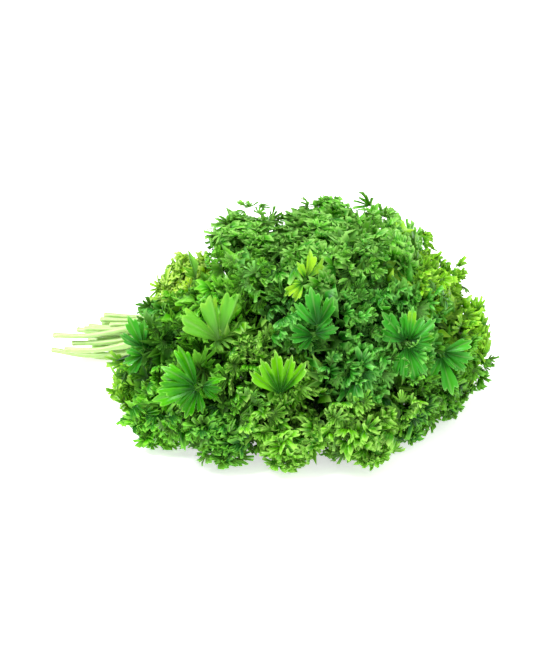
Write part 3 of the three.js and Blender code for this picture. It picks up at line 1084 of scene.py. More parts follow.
@dataclass
class LeafPiece:
    """The green leaf of one sprig, as one piece that stands for the CAD leaf.

    Args:
        sprig: The sprig.
        growth: The bunch's growth, which presses leaflets into their room.
        form: How the leaflets look.
        rng: Random numbers of this sprig's own.
        midrib: Sizes of the midrib.
        leaflet_stalk: Sizes of the stalk inside a leaflet.
        side_stalk: Sizes of the stalk of a broad leaflet or a tuft.
        stalk_reach: How far into a leaflet its stalk goes, as a share of the leaflet.
        lowest: Height of the lowest points of leaflets that aren't pressed, in millimetres.
        highest_draw: Share of what goes past the ceiling that is taken back from those.
        below_table: How far below the table a lobule may start before it is left out.
        deepest_shade: Greatest depth of a tuft that isn't pressed.
        sky_shade: How much less that is where the sky is seen.
        sky_from: Height at which the sky begins to be seen.
        sky_over: Height over which it opens.
        inner_highest: How far up the leaf the highest ring of inner leaflets sits, as a share.
        inner_depths: How far above the leaf's foot the other rings sit, in millimetres.
        inner_ring: How many inner leaflets are in a ring.
        inner_lean: How far they lean away from the midrib, in degrees.
        inner_size: Their greatest length.
        inner_stalk: Length of their stalks as a share of the sprig's room there.
        inner_limit: How far below the leaf's foot they may go.
        core_depth: How far below a tuft its core sits, and the core's size.
    """

    sprig: Sprig
    growth: Growth
    form: Form
    rng: np.random.Generator
    midrib: Stalk = Stalk(foot=1.0, end=0.6, rings=8, sides=8, rib=0.08, stalk=1)
    leaflet_stalk: Stalk = Stalk(foot=0.6, end=0.25, rings=6, sides=5, rib=0.0, stalk=0.75)
    side_stalk: Stalk = Stalk(0.7, 0.45, rings=7, sides=6, rib=0.0, stalk=0.25, tone=0.3)
    stalk_reach: float = 0.66
    lowest: float = 0.3
    highest_draw: float = 0.6
    below_table: float = 5.0
    deepest_shade: float = 0.72
    sky_shade: float = 0.5
    sky_from: float = 30.0
    sky_over: float = 35.0
    inner_highest: float = 0.3
    inner_depths: tuple[float, ...] = (1.0, -12.0, -24.0)
    inner_ring: int = 5
    inner_lean: float = 72.0
    inner_size: float = 13.0
    inner_stalk: float = 0.2
    inner_limit: float = 24.0
    core_depth: float = 15.0

    def spread(self, size: float, count: int) -> np.ndarray:
        """Returns that many random numbers of that usual size, above and below 0."""
        return size * self.rng.standard_normal(count)

    def crisped(self, parts: MeshParts, seats: list[Seat], spray: Spray,
                held: bool = True) -> None:
        """Adds a dense tuft of curled lobules for each seat.

        Args:
            parts: The parts of the leaf.
            seats: The seats.
            spray: How each leaflet branches.
            held: Whether the lobules are pressed into the sprig's room.
        """
        if not seats:
            return
        rng = self.rng
        layout = np.array(spray.places)
        n, m = len(seats), len(layout)
        count = n * m
        # How much branches and lobules vary, in degrees, and how far lobules lift on average
        branch_yaw, branch_pitch, lobe_yaw, lobe_lift, lobe_pitch, lobe_roll = 8, 10, 16, 16, 22, 32
        along, across, face = (gathered(seats, name, m) for name in ("along", "across", "face"))
        size = spray.scale * gathered(seats, "size", m)
        yaw = np.radians(np.tile(layout[:, 0], n) + self.spread(branch_yaw, count))
        pitch = np.radians(np.tile(layout[:, 2], n) + self.spread(branch_pitch, count))
        branch = turned(along, across, face, yaw, pitch, 0 * yaw)
        shares = np.tile(layout[:, 1], n) + self.spread(0.04, count)
        base = gathered(seats, "root", m) + along * gathered(seats, "stalk", m)[:, None]
        base = base + branch[0] * (size * shares)[:, None]
        a, b, f = turned(
            *branch, np.radians(self.spread(lobe_yaw, count)),
            np.radians(lobe_lift + self.spread(lobe_pitch, count)),
            np.radians(self.spread(lobe_roll, count)),
        )
        batch = LobeBatch(
            base=base, along=a, across=b, face=f,
            length=size * np.tile(layout[:, 3], n) * rng.uniform(0.85, 1.25, count),
            curl=np.where(rng.random(count) < 0.85, 1, -1) * rng.uniform(0.3, 1.7, count),
            pleat=rng.uniform(0.2, 0.5, count),
            ruffle=rng.uniform(0.05, 0.18, count),
            tone=np.clip(0.5 + self.spread(0.22, count), 0, 1),
        )
        kept = base[:, 2] > -self.below_table
        self.lay(parts, Lobules(spray.lobe, rng), batch.pick(kept), held)

    def fanned(self, parts: MeshParts, seats: list[Seat]) -> None:
        """Adds a broad fan with a smaller one on each side for each seat.

        Args:
            parts: The parts of the leaf.
            seats: The seats.
        """
        if not seats:
            return
        rng = self.rng
        # Share along the leaflet, turn in degrees and share of its length of each fan
        layout = np.array([(0.12, 0, 1.0), (-0.05, 68, 0.62), (-0.05, -68, 0.62)])
        n, m = len(seats), len(layout)
        count = n * m
        along, across, face = (gathered(seats, name, m) for name in ("along", "across", "face"))
        stalk, size = gathered(seats, "stalk", m), gathered(seats, "size", m)
        base = gathered(seats, "root", m)
        base = base + along * (stalk + size * np.tile(layout[:, 0], n))[:, None]
        # How much fans vary, in degrees, and how far they lift on average
        fan_yaw, fan_lift, fan_pitch, fan_roll = 8, 8, 9, 12
        yaw = np.radians(np.tile(layout[:, 1], n) + self.spread(fan_yaw, count))
        pitch = np.radians(fan_lift + self.spread(fan_pitch, count))
        roll = np.radians(self.spread(fan_roll, count))
        a, b, f = turned(along, across, face, yaw, pitch, roll)
        batch = LobeBatch(
            base=base, along=a, across=b, face=f,
            length=0.85 * size * np.tile(layout[:, 2], n) * rng.uniform(0.9, 1.12, count),
            curl=rng.uniform(-0.5, 0.6, count),
            pleat=rng.uniform(0.12, 0.3, count),
            ruffle=rng.uniform(0.02, 0.08, count),
            tone=np.clip(0.55 + self.spread(0.2, count), 0, 1),
        )
        self.lay(parts, Lobules(FAN_LOBE, rng), batch)

    def lay(self, parts: MeshParts, lobules: Lobules, batch: LobeBatch,
            held: bool = True) -> None:
        """Adds a batch of lobules.

        Args:
            parts: The parts of the leaf.
            lobules: What makes their surfaces.
            batch: The lobules.
            held: Whether they are pressed into the sprig's room.
        """
        points, values = lobules.surface(batch)
        if held:
            points = self.growth.press(self.sprig, points, self.deeper())
        else:
            over = np.maximum(points[..., 2] - self.growth.plan.ceiling, 0)
            points[..., 2] = np.maximum(points[..., 2] - self.highest_draw * over, self.lowest)
        points = points.reshape(-1, 3)
        # How deep a point lies sets how much painted shade the finish gives it
        values["depth"] = self.depth(points)
        if not held:
            sky = np.clip((points[:, 2] - self.sky_from) / self.sky_over, 0, 1)
            limit = self.deepest_shade - self.sky_shade * sky
            values["depth"] = np.minimum(values["depth"], limit)
        parts.add(points, lobules.quads(len(batch.base)), **values)

    def depth(self, points: np.ndarray) -> np.ndarray:
        """Measures how deep inside the bunch points lie.

        Args:
            points: The points, in millimetres.

        Returns:
            0 for a point level with the sprig's tip, up to 1 at its foot.
        """
        reach = np.linalg.norm(points - self.growth.fan, axis=1)
        return np.clip((self.sprig.tip - reach) / self.growth.plan.leaf_depth, 0, 1)

    def stalks(self, parts: MeshParts) -> None:
        """Adds the midrib and a short stalk to each leaflet.

        Args:
            parts: The parts of the leaf.
        """
        sprig = self.sprig
        rib = np.linspace(sprig.leaf_start, sprig.rib_top, self.midrib.rings)
        path = self.growth.fan + sprig.direction * rib[:, None]
        self.midrib.add_to(parts, path, None, self)
        for seat in sprig.seats:
            end = seat.stalk + self.stalk_reach * seat.size
            reach = np.linspace(0, end, self.leaflet_stalk.rings)
            path = self.growth.press(sprig, seat.root + seat.along * reach[:, None])
            self.leaflet_stalk.add_to(parts, path, None, self)

    def broad(self, parts: MeshParts) -> None:
        """Adds the broad leaflets that lie on the front of this sprig, with their stalks.

        Args:
            parts: The parts of the leaf.
        """
        leaflets = BROAD_LEAFLETS.get(self.sprig.number, ())
        if not leaflets:
            return
        rng = self.rng
        n = len(leaflets)
        size = {f.name: np.array([getattr(leaflet, f.name) for leaflet in leaflets], float)
                for f in fields(BroadLeaflet)}
        deep = size["deep"] > 0
        tip = self.growth.fan + self.sprig.direction * self.sprig.tip
        base = tip + np.stack([size["right"], size["up"], size["out"]], -1) @ FRONT
        ones = np.ones((n, 1))
        a, b, f = turned(
            *(ones * way for way in FRONT),
            *(np.radians(size[name]) for name in ("turn", "tilt", "roll")),
        )
        batch = LobeBatch(
            base=base, along=a, across=b, face=f, length=size["length"], curl=size["curl"],
            pleat=rng.uniform(0.26, 0.4, n) * np.where(deep, 1.0, 0.6),
            ruffle=rng.uniform(0.03, 0.06, n), tone=size["tone"],
        )
        for shape, chosen in ((BROAD_LOBE, ~deep), (DEEP_LOBE, deep)):
            lobules = Lobules(shape, rng)
            points, values = lobules.surface(batch.pick(chosen))
            points = points.reshape(-1, 3)
            points[:, 2] = np.maximum(points[:, 2], self.lowest)
            shade = np.repeat(size["shade"][chosen], shape.rows * shape.columns())
            # Broad leaflets show the side of face, so their quads are turned over
            quads = lobules.quads(int(chosen.sum()))[:, ::-1]
            parts.add(points, quads, depth=shade, **values)
        for end, along in zip(base, a):
            self.add_side_stalk(parts, end, along)

    def add_side_stalk(self, parts: MeshParts, end: np.ndarray, along: np.ndarray) -> None:
        """Adds a curved stalk from the midrib to a leaflet's base.

        Args:
            parts: The parts of the leaf.
            end: Where the leaflet starts.
            along: Which way the leaflet points.
        """
        below_top, bow, shade = 2, 6, 0.45
        foot = self.growth.fan + self.sprig.direction * (self.sprig.rib_top - below_top)
        t = np.linspace(0, 1, self.side_stalk.rings)[:, None]
        path = foot * (1 - t) ** 2 + 2 * (end - along * bow) * t * (1 - t) + end * t ** 2
        self.side_stalk.add_to(parts, path, shade, self)

    def tufts(self, parts: MeshParts) -> None:
        """Adds the crisped leaflets that fill the hollows beside this sprig.

        Args:
            parts: The parts of the leaf.
        """
        seats, cores = [], []
        tip = self.growth.fan + self.sprig.direction * self.sprig.tip
        extra = [(tip + np.array(tuft[:3]) @ FRONT, tuft[3])
                 for tuft in OUTER_TUFTS.get(self.sprig.number, ())]
        core = self.core_depth
        for middle, size in self.sprig.hollows + extra:
            face = unit(middle - self.growth.fan)
            along = unit(np.cross(self.sprig.direction, face))
            seats.append(Seat(
                root=middle, outward=face, along=along, across=np.cross(face, along), face=face,
                stalk=0.0, size=size, whorl=0,
            ))
            cores.append(replace(seats[-1], root=middle - core * face, size=core))
            self.add_side_stalk(parts, middle - 3 * face, along)
        self.crisped(parts, seats, HOLLOW_SPRAY, held=False)
        self.crisped(parts, cores, CORE_SPRAY, held=False)

    def deeper(self) -> float:
        """Returns how far the inner leaflets go below the foot of the CAD leaf."""
        return min(self.inner_limit, self.sprig.leaf_start - self.growth.plan.fan_clear)

    def inner_seats(self) -> list[Seat]:
        """Seats the small inner leaflets, which close the view into the bunch.

        Returns:
            The seats, ring by ring.
        """
        sprig = self.sprig
        sideways = unit(np.cross([0, 0, 1.0], sprig.direction))
        upward = np.cross(sprig.direction, sideways)
        lean = math.radians(self.inner_lean)
        highest = self.inner_highest * (sprig.tip - sprig.leaf_start)
        clear, further = 2, 8
        seats = []
        for depth in (highest, *self.inner_depths):
            if -depth > self.deeper():
                continue
            distance = sprig.leaf_start + depth + clear
            room = (distance + further) * math.tan(sprig.half_angle)
            first = self.rng.uniform(0, 90)
            for k in range(self.inner_ring):
                azimuth = math.radians(first + 360 / self.inner_ring * k)
                outward = sideways * math.cos(azimuth) + upward * math.sin(azimuth)
                along = sprig.direction * math.cos(lean) + outward * math.sin(lean)
                across = np.cross(sprig.direction, outward)
                seats.append(Seat(
                    root=self.growth.fan + sprig.direction * distance, outward=outward,
                    along=along, across=across, face=np.cross(along, across),
                    stalk=self.inner_stalk * room, size=min(room, self.inner_size), whorl=3,
                ))
        return seats

    def top_seat(self) -> Seat:
        """Seats the leaflet that ends the midrib.

        Returns:
            The seat.
        """
        sprig = self.sprig
        first = sprig.seats[0]
        face = unit(first.outward - sprig.direction * (first.outward @ sprig.direction))
        return Seat(
            root=self.growth.fan + sprig.direction * sprig.rib_top, outward=face,
            along=sprig.direction, across=np.cross(face, sprig.direction), face=face,
            stalk=0.5, size=0.75 * first.size, whorl=0,
        )

    def build(self) -> bpy.types.Object:
        """Makes the leaf, in the frame's metres.

        Returns:
            The piece.
        """
        parts = MeshParts()
        self.stalks(parts)
        fan_like = self.rng.random(len(self.sprig.seats)) < self.form.value
        crisp = [seat for seat, fan in zip(self.sprig.seats, fan_like) if not fan]
        outer = [self.top_seat()] + [seat for seat in crisp if seat.whorl < 2]
        self.crisped(parts, outer, FRILL_SPRAY)
        self.crisped(parts, outer, CRISP_SPRAY)
        self.crisped(parts, [seat for seat in crisp if seat.whorl == 2], LOWER_SPRAY)
        self.crisped(parts, self.inner_seats(), INNER_SPRAY)
        self.broad(parts)
        self.tufts(parts)
        self.fanned(parts, [seat for seat, fan in zip(self.sprig.seats, fan_like) if fan])
        name = f"parsley_leaf_{self.sprig.number:02d}"
        return parts.build(name, np.array(self.growth.plan.origin))

    def dress(self, piece: bpy.types.Object, material: bpy.types.Material, slot: str) -> None:
        """Gives the leaf its finish, hides its CAD node and makes it ride on the body.

        Args:
            piece: The leaf.
            material: Its finish.
            slot: The slot of its CAD node.
        """
        piece.data.materials.append(material)
        place(piece, f"leaf_{self.sprig.number:02d}", slot)


@dataclass
class StemPiece:
    """The bare stalk of one sprig, along the route of its CAD stem.

    Args:
        number: Number of the sprig.
        origin: The frame's origin in the plan's millimetres.
        ring_width: Distance within which points of the CAD stem are of one ring.
        thickness: Radius as a share of the CAD stem's.
        steps: Rings of points for each ring of the CAD stem.
        sides: Points in a ring.
        rib: Depth of the ribs as a share of the radius.
        cap: Size of the smallest ring, in the middle of an end, as a share of the radius.
        sink: Least height of the stalk's middle above the table, as a share of the radius.
    """

    number: int
    origin: np.ndarray
    ring_width: float = 3.4
    thickness: float = 0.8
    steps: int = 5
    sides: int = 15
    rib: float = 0.07
    cap: float = 0.02
    sink: float = 0.9

    def rings(self) -> tuple[np.ndarray, np.ndarray]:
        """Reads the CAD stem's rings of points, from its cut end.

        Returns:
            The middle and the mean radius of each ring, in the frame's millimetres.
        """
        node = frame["nodes"][f"stem_{self.number:02d}"]
        left = np.array([v.co for v in node.data.vertices], float) / MM
        left = np.unique(np.round(left, 2), axis=0)
        middles, radii = [], []
        while len(left):
            near = np.linalg.norm(left - left[0], axis=1) < self.ring_width
            middle = left[near].mean(axis=0)
            middles.append(middle)
            radii.append(np.linalg.norm(left[near] - middle, axis=1).mean())
            left = left[~near]
        middles, radii = np.array(middles), np.array(radii)
        order = [int(np.argmin(middles[:, 0]))]
        while len(order) < len(middles):
            gaps = np.linalg.norm(middles - middles[order[-1]], axis=1)
            gaps[order] = np.inf
            order.append(int(np.argmin(gaps)))
        return middles[order], radii[order]

    def smooth(self, values: np.ndarray) -> np.ndarray:
        """Lays a smooth curve through values.

        Args:
            values: One row for each point that the curve goes through.

        Returns:
            The curve, with a number of steps between one point and the next.
        """
        padded = np.vstack([2 * values[0] - values[1], values, 2 * values[-1] - values[-2]])
        out = []
        for k in range(len(values) - 1):
            a, b, c, d = padded[k:k + 4]
            for t in np.arange(self.steps) / self.steps:
                out.append(0.5 * (
                    2 * b + (c - a) * t + (2 * a - 5 * b + 4 * c - d) * t ** 2
                    + (3 * b - a - 3 * c + d) * t ** 3
                ))
        out.append(values[-1])
        return np.array(out)

    def build(self) -> bpy.types.Object:
        """Makes the ribbed stalk, closed at both ends.

        Returns:
            The piece.
        """
        middles, radii = self.rings()
        path = self.smooth(middles)
        radius = self.thickness * self.smooth(radii[:, None])[:, 0]
        path[:, 2] = np.maximum(path[:, 2], radius * self.sink)
        sides = self.sides
        points = tube_points(path, radius, sides, rib=self.rib)
        share = np.repeat(np.linspace(0, 1, len(path)), sides)
        first = path[0] + (points[:sides] - path[0]) * self.cap
        last = path[-1] + (points[-sides:] - path[-1]) * self.cap
        points = np.concatenate([first, points[:sides], points, points[-sides:], last])
        share = np.concatenate([np.zeros(2 * sides), share, np.ones(2 * sides)])
        cut = np.zeros(len(points))
        cut[:2 * sides] = 1
        parts = MeshParts()
        parts.add(points + self.origin, grid_quads(len(points) // sides, sides, closed=True),
                  share=share, cut=cut)
        return parts.build(f"parsley_stem_{self.number:02d}", self.origin)

    def dress(self, piece: bpy.types.Object, material: bpy.types.Material, slot: str) -> None:
        """Gives the stalk its finish, hides its CAD node and makes it ride on the body.

        Args:
            piece: The stalk.
            material: Its finish.
            slot: The slot of its CAD node.
        """
        piece.data.materials.append(material)
        place(piece, f"stem_{self.number:02d}", slot)


# Finishes


COLOUR = {"data_type": "RGBA"}
MULTIPLY = {"data_type": "RGBA", "blend_type": "MULTIPLY"}
SMOOTH = {"interpolation_type": "SMOOTHSTEP"}


def per_metre(size: float) -> float:
    """Returns the scale of a pattern whose features are that many millimetres apart."""
    return 1000 / size


@dataclass(frozen=True)
class Layer:
    """A colour that covers a skin where a measure of the piece says so.

    Args:
        measure: Name of a point attribute or of a pattern.
        start: Value of the measure at which the cover starts to change.
        end: Value at which it stops.
        least: Cover at start, from 0 to 1.
        most: Cover at end.
        colour: The colour, as sRGB hex.
    """

    measure: str
    start: float
    end: float
    least: float
    most: float
    colour: str


class Graph:
    """A material's nodes, added and linked one at a time."""

    def __init__(self, name: str) -> None:
        """Starts an empty material.

        Args:
            name: Name of the material.
        """
        self.material = bpy.data.materials.new(name)
        self.material.use_nodes = True
        self.tree = self.material.node_tree
        self.tree.nodes.clear()

    def add(self, kind: str, settings: dict[str, str] | None = None,
            **links: object) -> bpy.types.Node:
        """Adds a node with its settings, its socket values and its links.

        Args:
            kind: The node's type, such as "ShaderNodeMix".
            settings: Properties set on the node itself.
            **links: Input socket by name, with _ for a space, or by number as i0, i1 and so on.
                The value is a constant or another node's output socket.

        Returns:
            The new node.
        """
        node = self.tree.nodes.new(kind)
        for key, value in (settings or {}).items():
            setattr(node, key, value)
        for key, value in links.items():
            numbered = key[0] == "i" and key[1:].isdigit()
            socket = node.inputs[int(key[1:]) if numbered else key.replace("_", " ")]
            if isinstance(value, bpy.types.NodeSocket):
                self.tree.links.new(value, socket)
            else:
                socket.default_value = value
        return node

    def cover(self, skin: object, measures: dict[str, bpy.types.NodeSocket],
              layers: tuple[Layer, ...]) -> bpy.types.NodeSocket:
        """Lays colours over a skin, one over another.

        Args:
            skin: The colour underneath, as a linear colour or a node's output.
            measures: The measures that the layers name.
            layers: The layers, from the lowest up.

        Returns:
            The covered colour.
        """
        for layer in layers:
            share = self.add(
                "ShaderNodeMapRange", SMOOTH, Value=measures[layer.measure],
                From_Min=layer.start, From_Max=layer.end, To_Min=layer.least, To_Max=layer.most,
            ).outputs[0]
            mixed = self.add("ShaderNodeMix", COLOUR, i0=share, i6=skin, i7=linear(layer.colour))
            skin = mixed.outputs[2]
        return skin

    def finish(self, shader: bpy.types.NodeSocket) -> bpy.types.Material:
        """Links the surface shader to the output and returns the material."""
        self.add("ShaderNodeOutputMaterial", Surface=shader)
        return self.material


@dataclass(frozen=True)
class LeafFinish:
    """Fresh parsley leaf, grown: a waxy green skin over thin flesh that lets light through.

    The wax gives soft highlights, and the flesh gives a warm yellow-green glow where light comes
    from behind. The underside is paler, and the thin pale margins carry a painted highlight.
    Painted shade darkens the valleys between lobes, the foot of each lobule and what lies deep
    in the bunch, which goes dark green as if its light had passed through other leaves.

    Args:
        name: Name of the material.
        deep: Colour of the older, darker lobules.
        fresh: Colour of the younger, lighter lobules.
        rim: Colour of the thin pale margins, with a painted highlight over them.
        vein: Colour of the midrib of a lobe.
        hollow: Colour of the painted shade in the valleys between lobes and at a lobule's foot.
        young: Colour of the youngest shoots.
        stalk: Colour of the stalks inside the leaf.
        under: Colour that the underside is tinted with.
        through: Colour of the light that comes through a thin blade.
        glow: Share of the light that comes through.
        roughness: Roughness of the wax.
        ior: IOR of the wax.
        blotch: Size of the lighter and darker patches, in millimetres.
        grain: Size of the skin's grain. The real one, about 0.1 mm, is too fine to show.
    """

    name: str
    deep: str
    fresh: str
    rim: str
    vein: str = "a5cf78"
    hollow: str = "084400"
    young: str = "b4e02c"
    stalk: str = "8fbf4c"
    under: str = "8fbf5a"
    through: str = "8cdc10"
    glow: float = 0.3
    roughness: float = 0.3
    ior: float = 1.4
    blotch: float = 10.5
    grain: float = 2 / 3

    def layers(self) -> tuple[Layer, ...]:
        """Returns the colours over the darkest green, from the lowest up."""
        return (
            Layer("tone", 0.1, 0.9, 0.0, 1.0, self.fresh),
            Layer("tone", 1.4, 2.2, 0.0, 0.8, self.young),
            Layer("grain", 0.3, 0.7, 0.0, 0.22, self.fresh),
            Layer("fold", 0.16, 0.02, 0.0, 0.25, self.vein),
            # Painted shade in the valleys between lobes and at the foot of each lobule
            Layer("fold", 0.6, 1.0, 0.0, 0.5, self.hollow),
            Layer("reach", 0.05, 0.65, 0.85, 0.0, self.hollow),
            # The pale margin, with a painted highlight over it
            Layer("rim", 0.6, 1.0, 0.0, 0.8, self.rim),
        )

    def build(self) -> bpy.types.Material:
        """Makes the material.

        Returns:
            The material.
        """
        g = Graph(self.name)
        where = g.add("ShaderNodeTexCoord").outputs["Object"]
        has = {
            name: g.add("ShaderNodeAttribute", {"attribute_name": name}).outputs["Fac"]
            for name in ("tone", "fold", "reach", "rim", "stalk", "depth")
        }
        for name, size, detail in (("blotch", self.blotch, 3.0), ("grain", self.grain, 2.0)):
            has[name] = g.add("ShaderNodeTexNoise", Vector=where, Scale=per_metre(size),
                              Detail=detail).outputs[0]
        shift = g.add("ShaderNodeMapRange", SMOOTH, Value=has["blotch"], From_Min=0.3,
                      From_Max=0.7, To_Min=-0.35, To_Max=0.35).outputs[0]
        has["tone"] = g.add("ShaderNodeMath", {"operation": "ADD"}, i0=has["tone"],
                            i1=shift).outputs[0]
        skin = g.cover(linear(self.deep), has, self.layers())
        skin = g.add("ShaderNodeMix", COLOUR, i0=has["stalk"], i6=skin,
                     i7=linear(self.stalk)).outputs[2]
        under = g.add("ShaderNodeMix", COLOUR, i0=0.3, i6=skin, i7=linear(self.under)).outputs[2]
        behind = g.add("ShaderNodeNewGeometry").outputs["Backfacing"]
        skin = g.add("ShaderNodeMix", COLOUR, i0=behind, i6=skin, i7=under).outputs[2]
        # Painted shade, deeper in the bunch and greener there: green light passes through
        # the leaves above better than red and blue
        others, green = (
            g.add("ShaderNodeMapRange", SMOOTH, Value=has["depth"], From_Min=0.16, From_Max=0.7,
                  To_Min=1.0, To_Max=darkest).outputs[0]
            for darkest in (0.08, 0.22)
        )
        shade = g.add("ShaderNodeCombineColor", i0=others, i1=green, i2=others).outputs[0]
        skin = g.add("ShaderNodeMix", MULTIPLY, i0=1.0, i6=skin, i7=shade).outputs[2]
        bump = g.add("ShaderNodeBump", Strength=0.25, Distance=0.2 * MM,
                     Height=has["grain"]).outputs[0]
        blade = g.add("ShaderNodeBsdfPrincipled", Base_Color=skin, Roughness=self.roughness,
                      IOR=self.ior, Specular_IOR_Level=0.3, Normal=bump).outputs[0]
        thin = g.add("ShaderNodeMapRange", SMOOTH, Value=has["reach"], From_Min=0.1,
                     From_Max=0.8, To_Min=0.08, To_Max=0.42).outputs[0]
        lit = g.add("ShaderNodeMix", COLOUR, i0=thin, i6=skin, i7=linear(self.through)).outputs[2]
        # The light through the blade gets the same painted shade
        lit = g.add("ShaderNodeMix", MULTIPLY, i0=1.0, i6=lit, i7=shade).outputs[2]
        through = g.add("ShaderNodeBsdfTranslucent", Color=lit).outputs[0]
        both = g.add("ShaderNodeMixShader", i0=self.glow, i1=blade, i2=through).outputs[0]
        return g.finish(both)


@dataclass(frozen=True)
class StalkFinish:
    """Fresh parsley stalk, grown and cut: pale moist flesh, whiter towards the cut end.

    The moisture gives sharp highlights, and the flesh blurs the light that enters it.

    Args:
        name: Name of the material.
        foot: Colour near the cut end.
        top: Colour near the leaf.
        light: Colour of the lighter streaks.
        cut: Colour of the cut end.
        streak: Size of the streaks, in millimetres.
        roughness: Roughness of the moist skin.
        ior: IOR of the moist skin.
    """

    name: str = "parsley_stalk"
    foot: str = "a8c47e"
    top: str = "b0d66e"
    light: str = "c4e08f"
    cut: str = "d8dccb"
    streak: float = 3.85
    roughness: float = 0.34
    ior: float = 1.42

    def build(self) -> bpy.types.Material:
        """Makes the material.

        Returns:
            The material.
        """
        g = Graph(self.name)
        where = g.add("ShaderNodeTexCoord").outputs["Object"]
        has = {
            name: g.add("ShaderNodeAttribute", {"attribute_name": name}).outputs["Fac"]
            for name in ("share", "cut")
        }
        has["streak"] = g.add("ShaderNodeTexNoise", Vector=where, Scale=per_metre(self.streak),
                              Detail=3.0).outputs[0]
        skin = g.cover(linear(self.foot), has, (
            Layer("share", 0.15, 0.75, 0.0, 1.0, self.top),
            Layer("streak", 0.35, 0.7, 0.0, 0.25, self.light),
        ))
        skin = g.add("ShaderNodeMix", COLOUR, i0=has["cut"], i6=skin,
                     i7=linear(self.cut)).outputs[2]
        bump = g.add("ShaderNodeBump", Strength=0.15, Distance=0.2 * MM,
                     Height=has["streak"]).outputs[0]
        shader = g.add(
            "ShaderNodeBsdfPrincipled", Base_Color=skin, Roughness=self.roughness, IOR=self.ior,
            Normal=bump, Subsurface_Weight=0.5, Subsurface_Scale=4 * MM,
            Subsurface_Radius=(0.6, 1.0, 0.3),
        ).outputs[0]
        return g.finish(shader)


@dataclass(frozen=True)
class BoardFinish:
    """Matt white board, coated: an even white without highlights.

    It is lit from within a little, so that it fades into the white surround as in the photo.

    Args:
        name: Name of the material.
        white: Its colour.
        light: Colour of its own light.
        strength: Strength of its own light.
        roughness: Roughness of the coat.
    """

    name: str = "white_surface"
    white: str = "f7f7f7"
    light: str = "ffffff"
    strength: float = 0.6
    roughness: float = 0.7

    def build(self) -> bpy.types.Material:
        """Makes the material.

        Returns:
            The material.
        """
        g = Graph(self.name)
        shader = g.add("ShaderNodeBsdfPrincipled", Base_Color=linear(self.white),
                       Roughness=self.roughness, Emission_Color=linear(self.light),
                       Emission_Strength=self.strength)
        return g.finish(shader.outputs[0])


class Green(Enum):
    """The greens of the sprigs."""

    YELLOW = LeafFinish("parsley_leaf_yellow_green", "74b404", "b0e420", "d8f680")
    LIGHT = LeafFinish("parsley_leaf_light_green", "2c7e00", "6cc008", "b4ec68")
    FRESH = LeafFinish("parsley_leaf_fresh_green", "409400", "80cc08", "b4ea4c")
    MID = LeafFinish("parsley_leaf_mid_green", "248000", "52b808", "94e448")
    # A lighter mid green, which paints the brighter light on the top of the bunch
    UPPER = LeafFinish("parsley_leaf_painted_top_light_green", "329414", "6ccc2c", "ace874")
    DARK = LeafFinish("parsley_leaf_dark_green", "064000", "147400", "84d848")
    BLUE = LeafFinish("parsley_leaf_bluish_green", "126a0a", "3aa024", "84d460")


@dataclass(frozen=True)
class Tone:
    """What one sprig looks like.

    Args:
        green: Its finish.
        form: Its form.
        longer: How much longer it is than the plan says, in millimetres.
    """

    green: Green
    form: Form = Form.CRISPED
    longer: float = 0.0


SPRIG_TONES = {
    1: Tone(Green.FRESH, Form.MIXED, 5), 2: Tone(Green.MID),
    3: Tone(Green.DARK, longer=-6), 4: Tone(Green.LIGHT),
    5: Tone(Green.LIGHT, longer=6), 6: Tone(Green.DARK),
    7: Tone(Green.DARK, longer=-8), 8: Tone(Green.FRESH, longer=4),
    9: Tone(Green.MID, Form.MIXED), 10: Tone(Green.DARK),
    11: Tone(Green.BLUE, Form.FANNED), 12: Tone(Green.MID, Form.FANNED),
    13: Tone(Green.LIGHT, Form.MIXED), 14: Tone(Green.BLUE),
    15: Tone(Green.BLUE, Form.FANNED), 16: Tone(Green.FRESH, Form.MIXED, 4),
    17: Tone(Green.FRESH), 18: Tone(Green.MID),
    19: Tone(Green.YELLOW, longer=-6), 20: Tone(Green.MID, Form.MIXED),
    21: Tone(Green.BLUE, Form.FANNED), 22: Tone(Green.BLUE, Form.MIXED),
    23: Tone(Green.FRESH, longer=-5), 24: Tone(Green.UPPER, longer=-6),
    25: Tone(Green.UPPER, longer=7), 26: Tone(Green.UPPER, longer=5),
    27: Tone(Green.UPPER), 28: Tone(Green.UPPER, Form.MIXED, -7),
    29: Tone(Green.UPPER), 30: Tone(Green.UPPER),
}


@dataclass
class Bunch:
    """The whole bunch: every stem and leaf, built and dressed.

    Args:
        plan: Driving dimensions.
        seed: Seed of the leaves' random numbers.
        leaves: Each leaf and its piece, once they are built.
        stems: Each stem and its piece.
    """

    plan: GrowthPlan = field(default_factory=GrowthPlan)
    seed: int = 7
    leaves: list[tuple[LeafPiece, bpy.types.Object]] = field(default_factory=list)
    stems: list[tuple[StemPiece, bpy.types.Object]] = field(default_factory=list)

    def build(self) -> None:
        """Builds a leaf and a stem for each sprig."""
        growth = Growth(self.plan)
        origin = np.array(self.plan.origin)
        sprigs = growth.grow()
        for sprig in sprigs:
            sprig.lengthen(SPRIG_TONES[sprig.number].longer)
        growth.find_hollows(sprigs)
        for sprig in sprigs:
            rng = np.random.default_rng([self.seed, sprig.number])
            leaf = LeafPiece(sprig, growth, SPRIG_TONES[sprig.number].form, rng)
            self.leaves.append((leaf, leaf.build()))
            stem = StemPiece(sprig.number, origin)
            self.stems.append((stem, stem.build()))

    def dress(self) -> None:
        """Gives each piece its finish, hides its CAD node and makes it ride on the body."""
        slots = {s["node"]: s["material_slot"] for s in frame["record"]["subparts"]}
        greens = {green: green.value.build() for green in Green}
        stalk = StalkFinish().build()
        for leaf, piece in self.leaves:
            number = leaf.sprig.number
            leaf.dress(piece, greens[SPRIG_TONES[number].green], slots[f"leaf_{number:02d}"])
        for stem, piece in self.stems:
            stem.dress(piece, stalk, slots[f"stem_{stem.number:02d}"])


# Stage


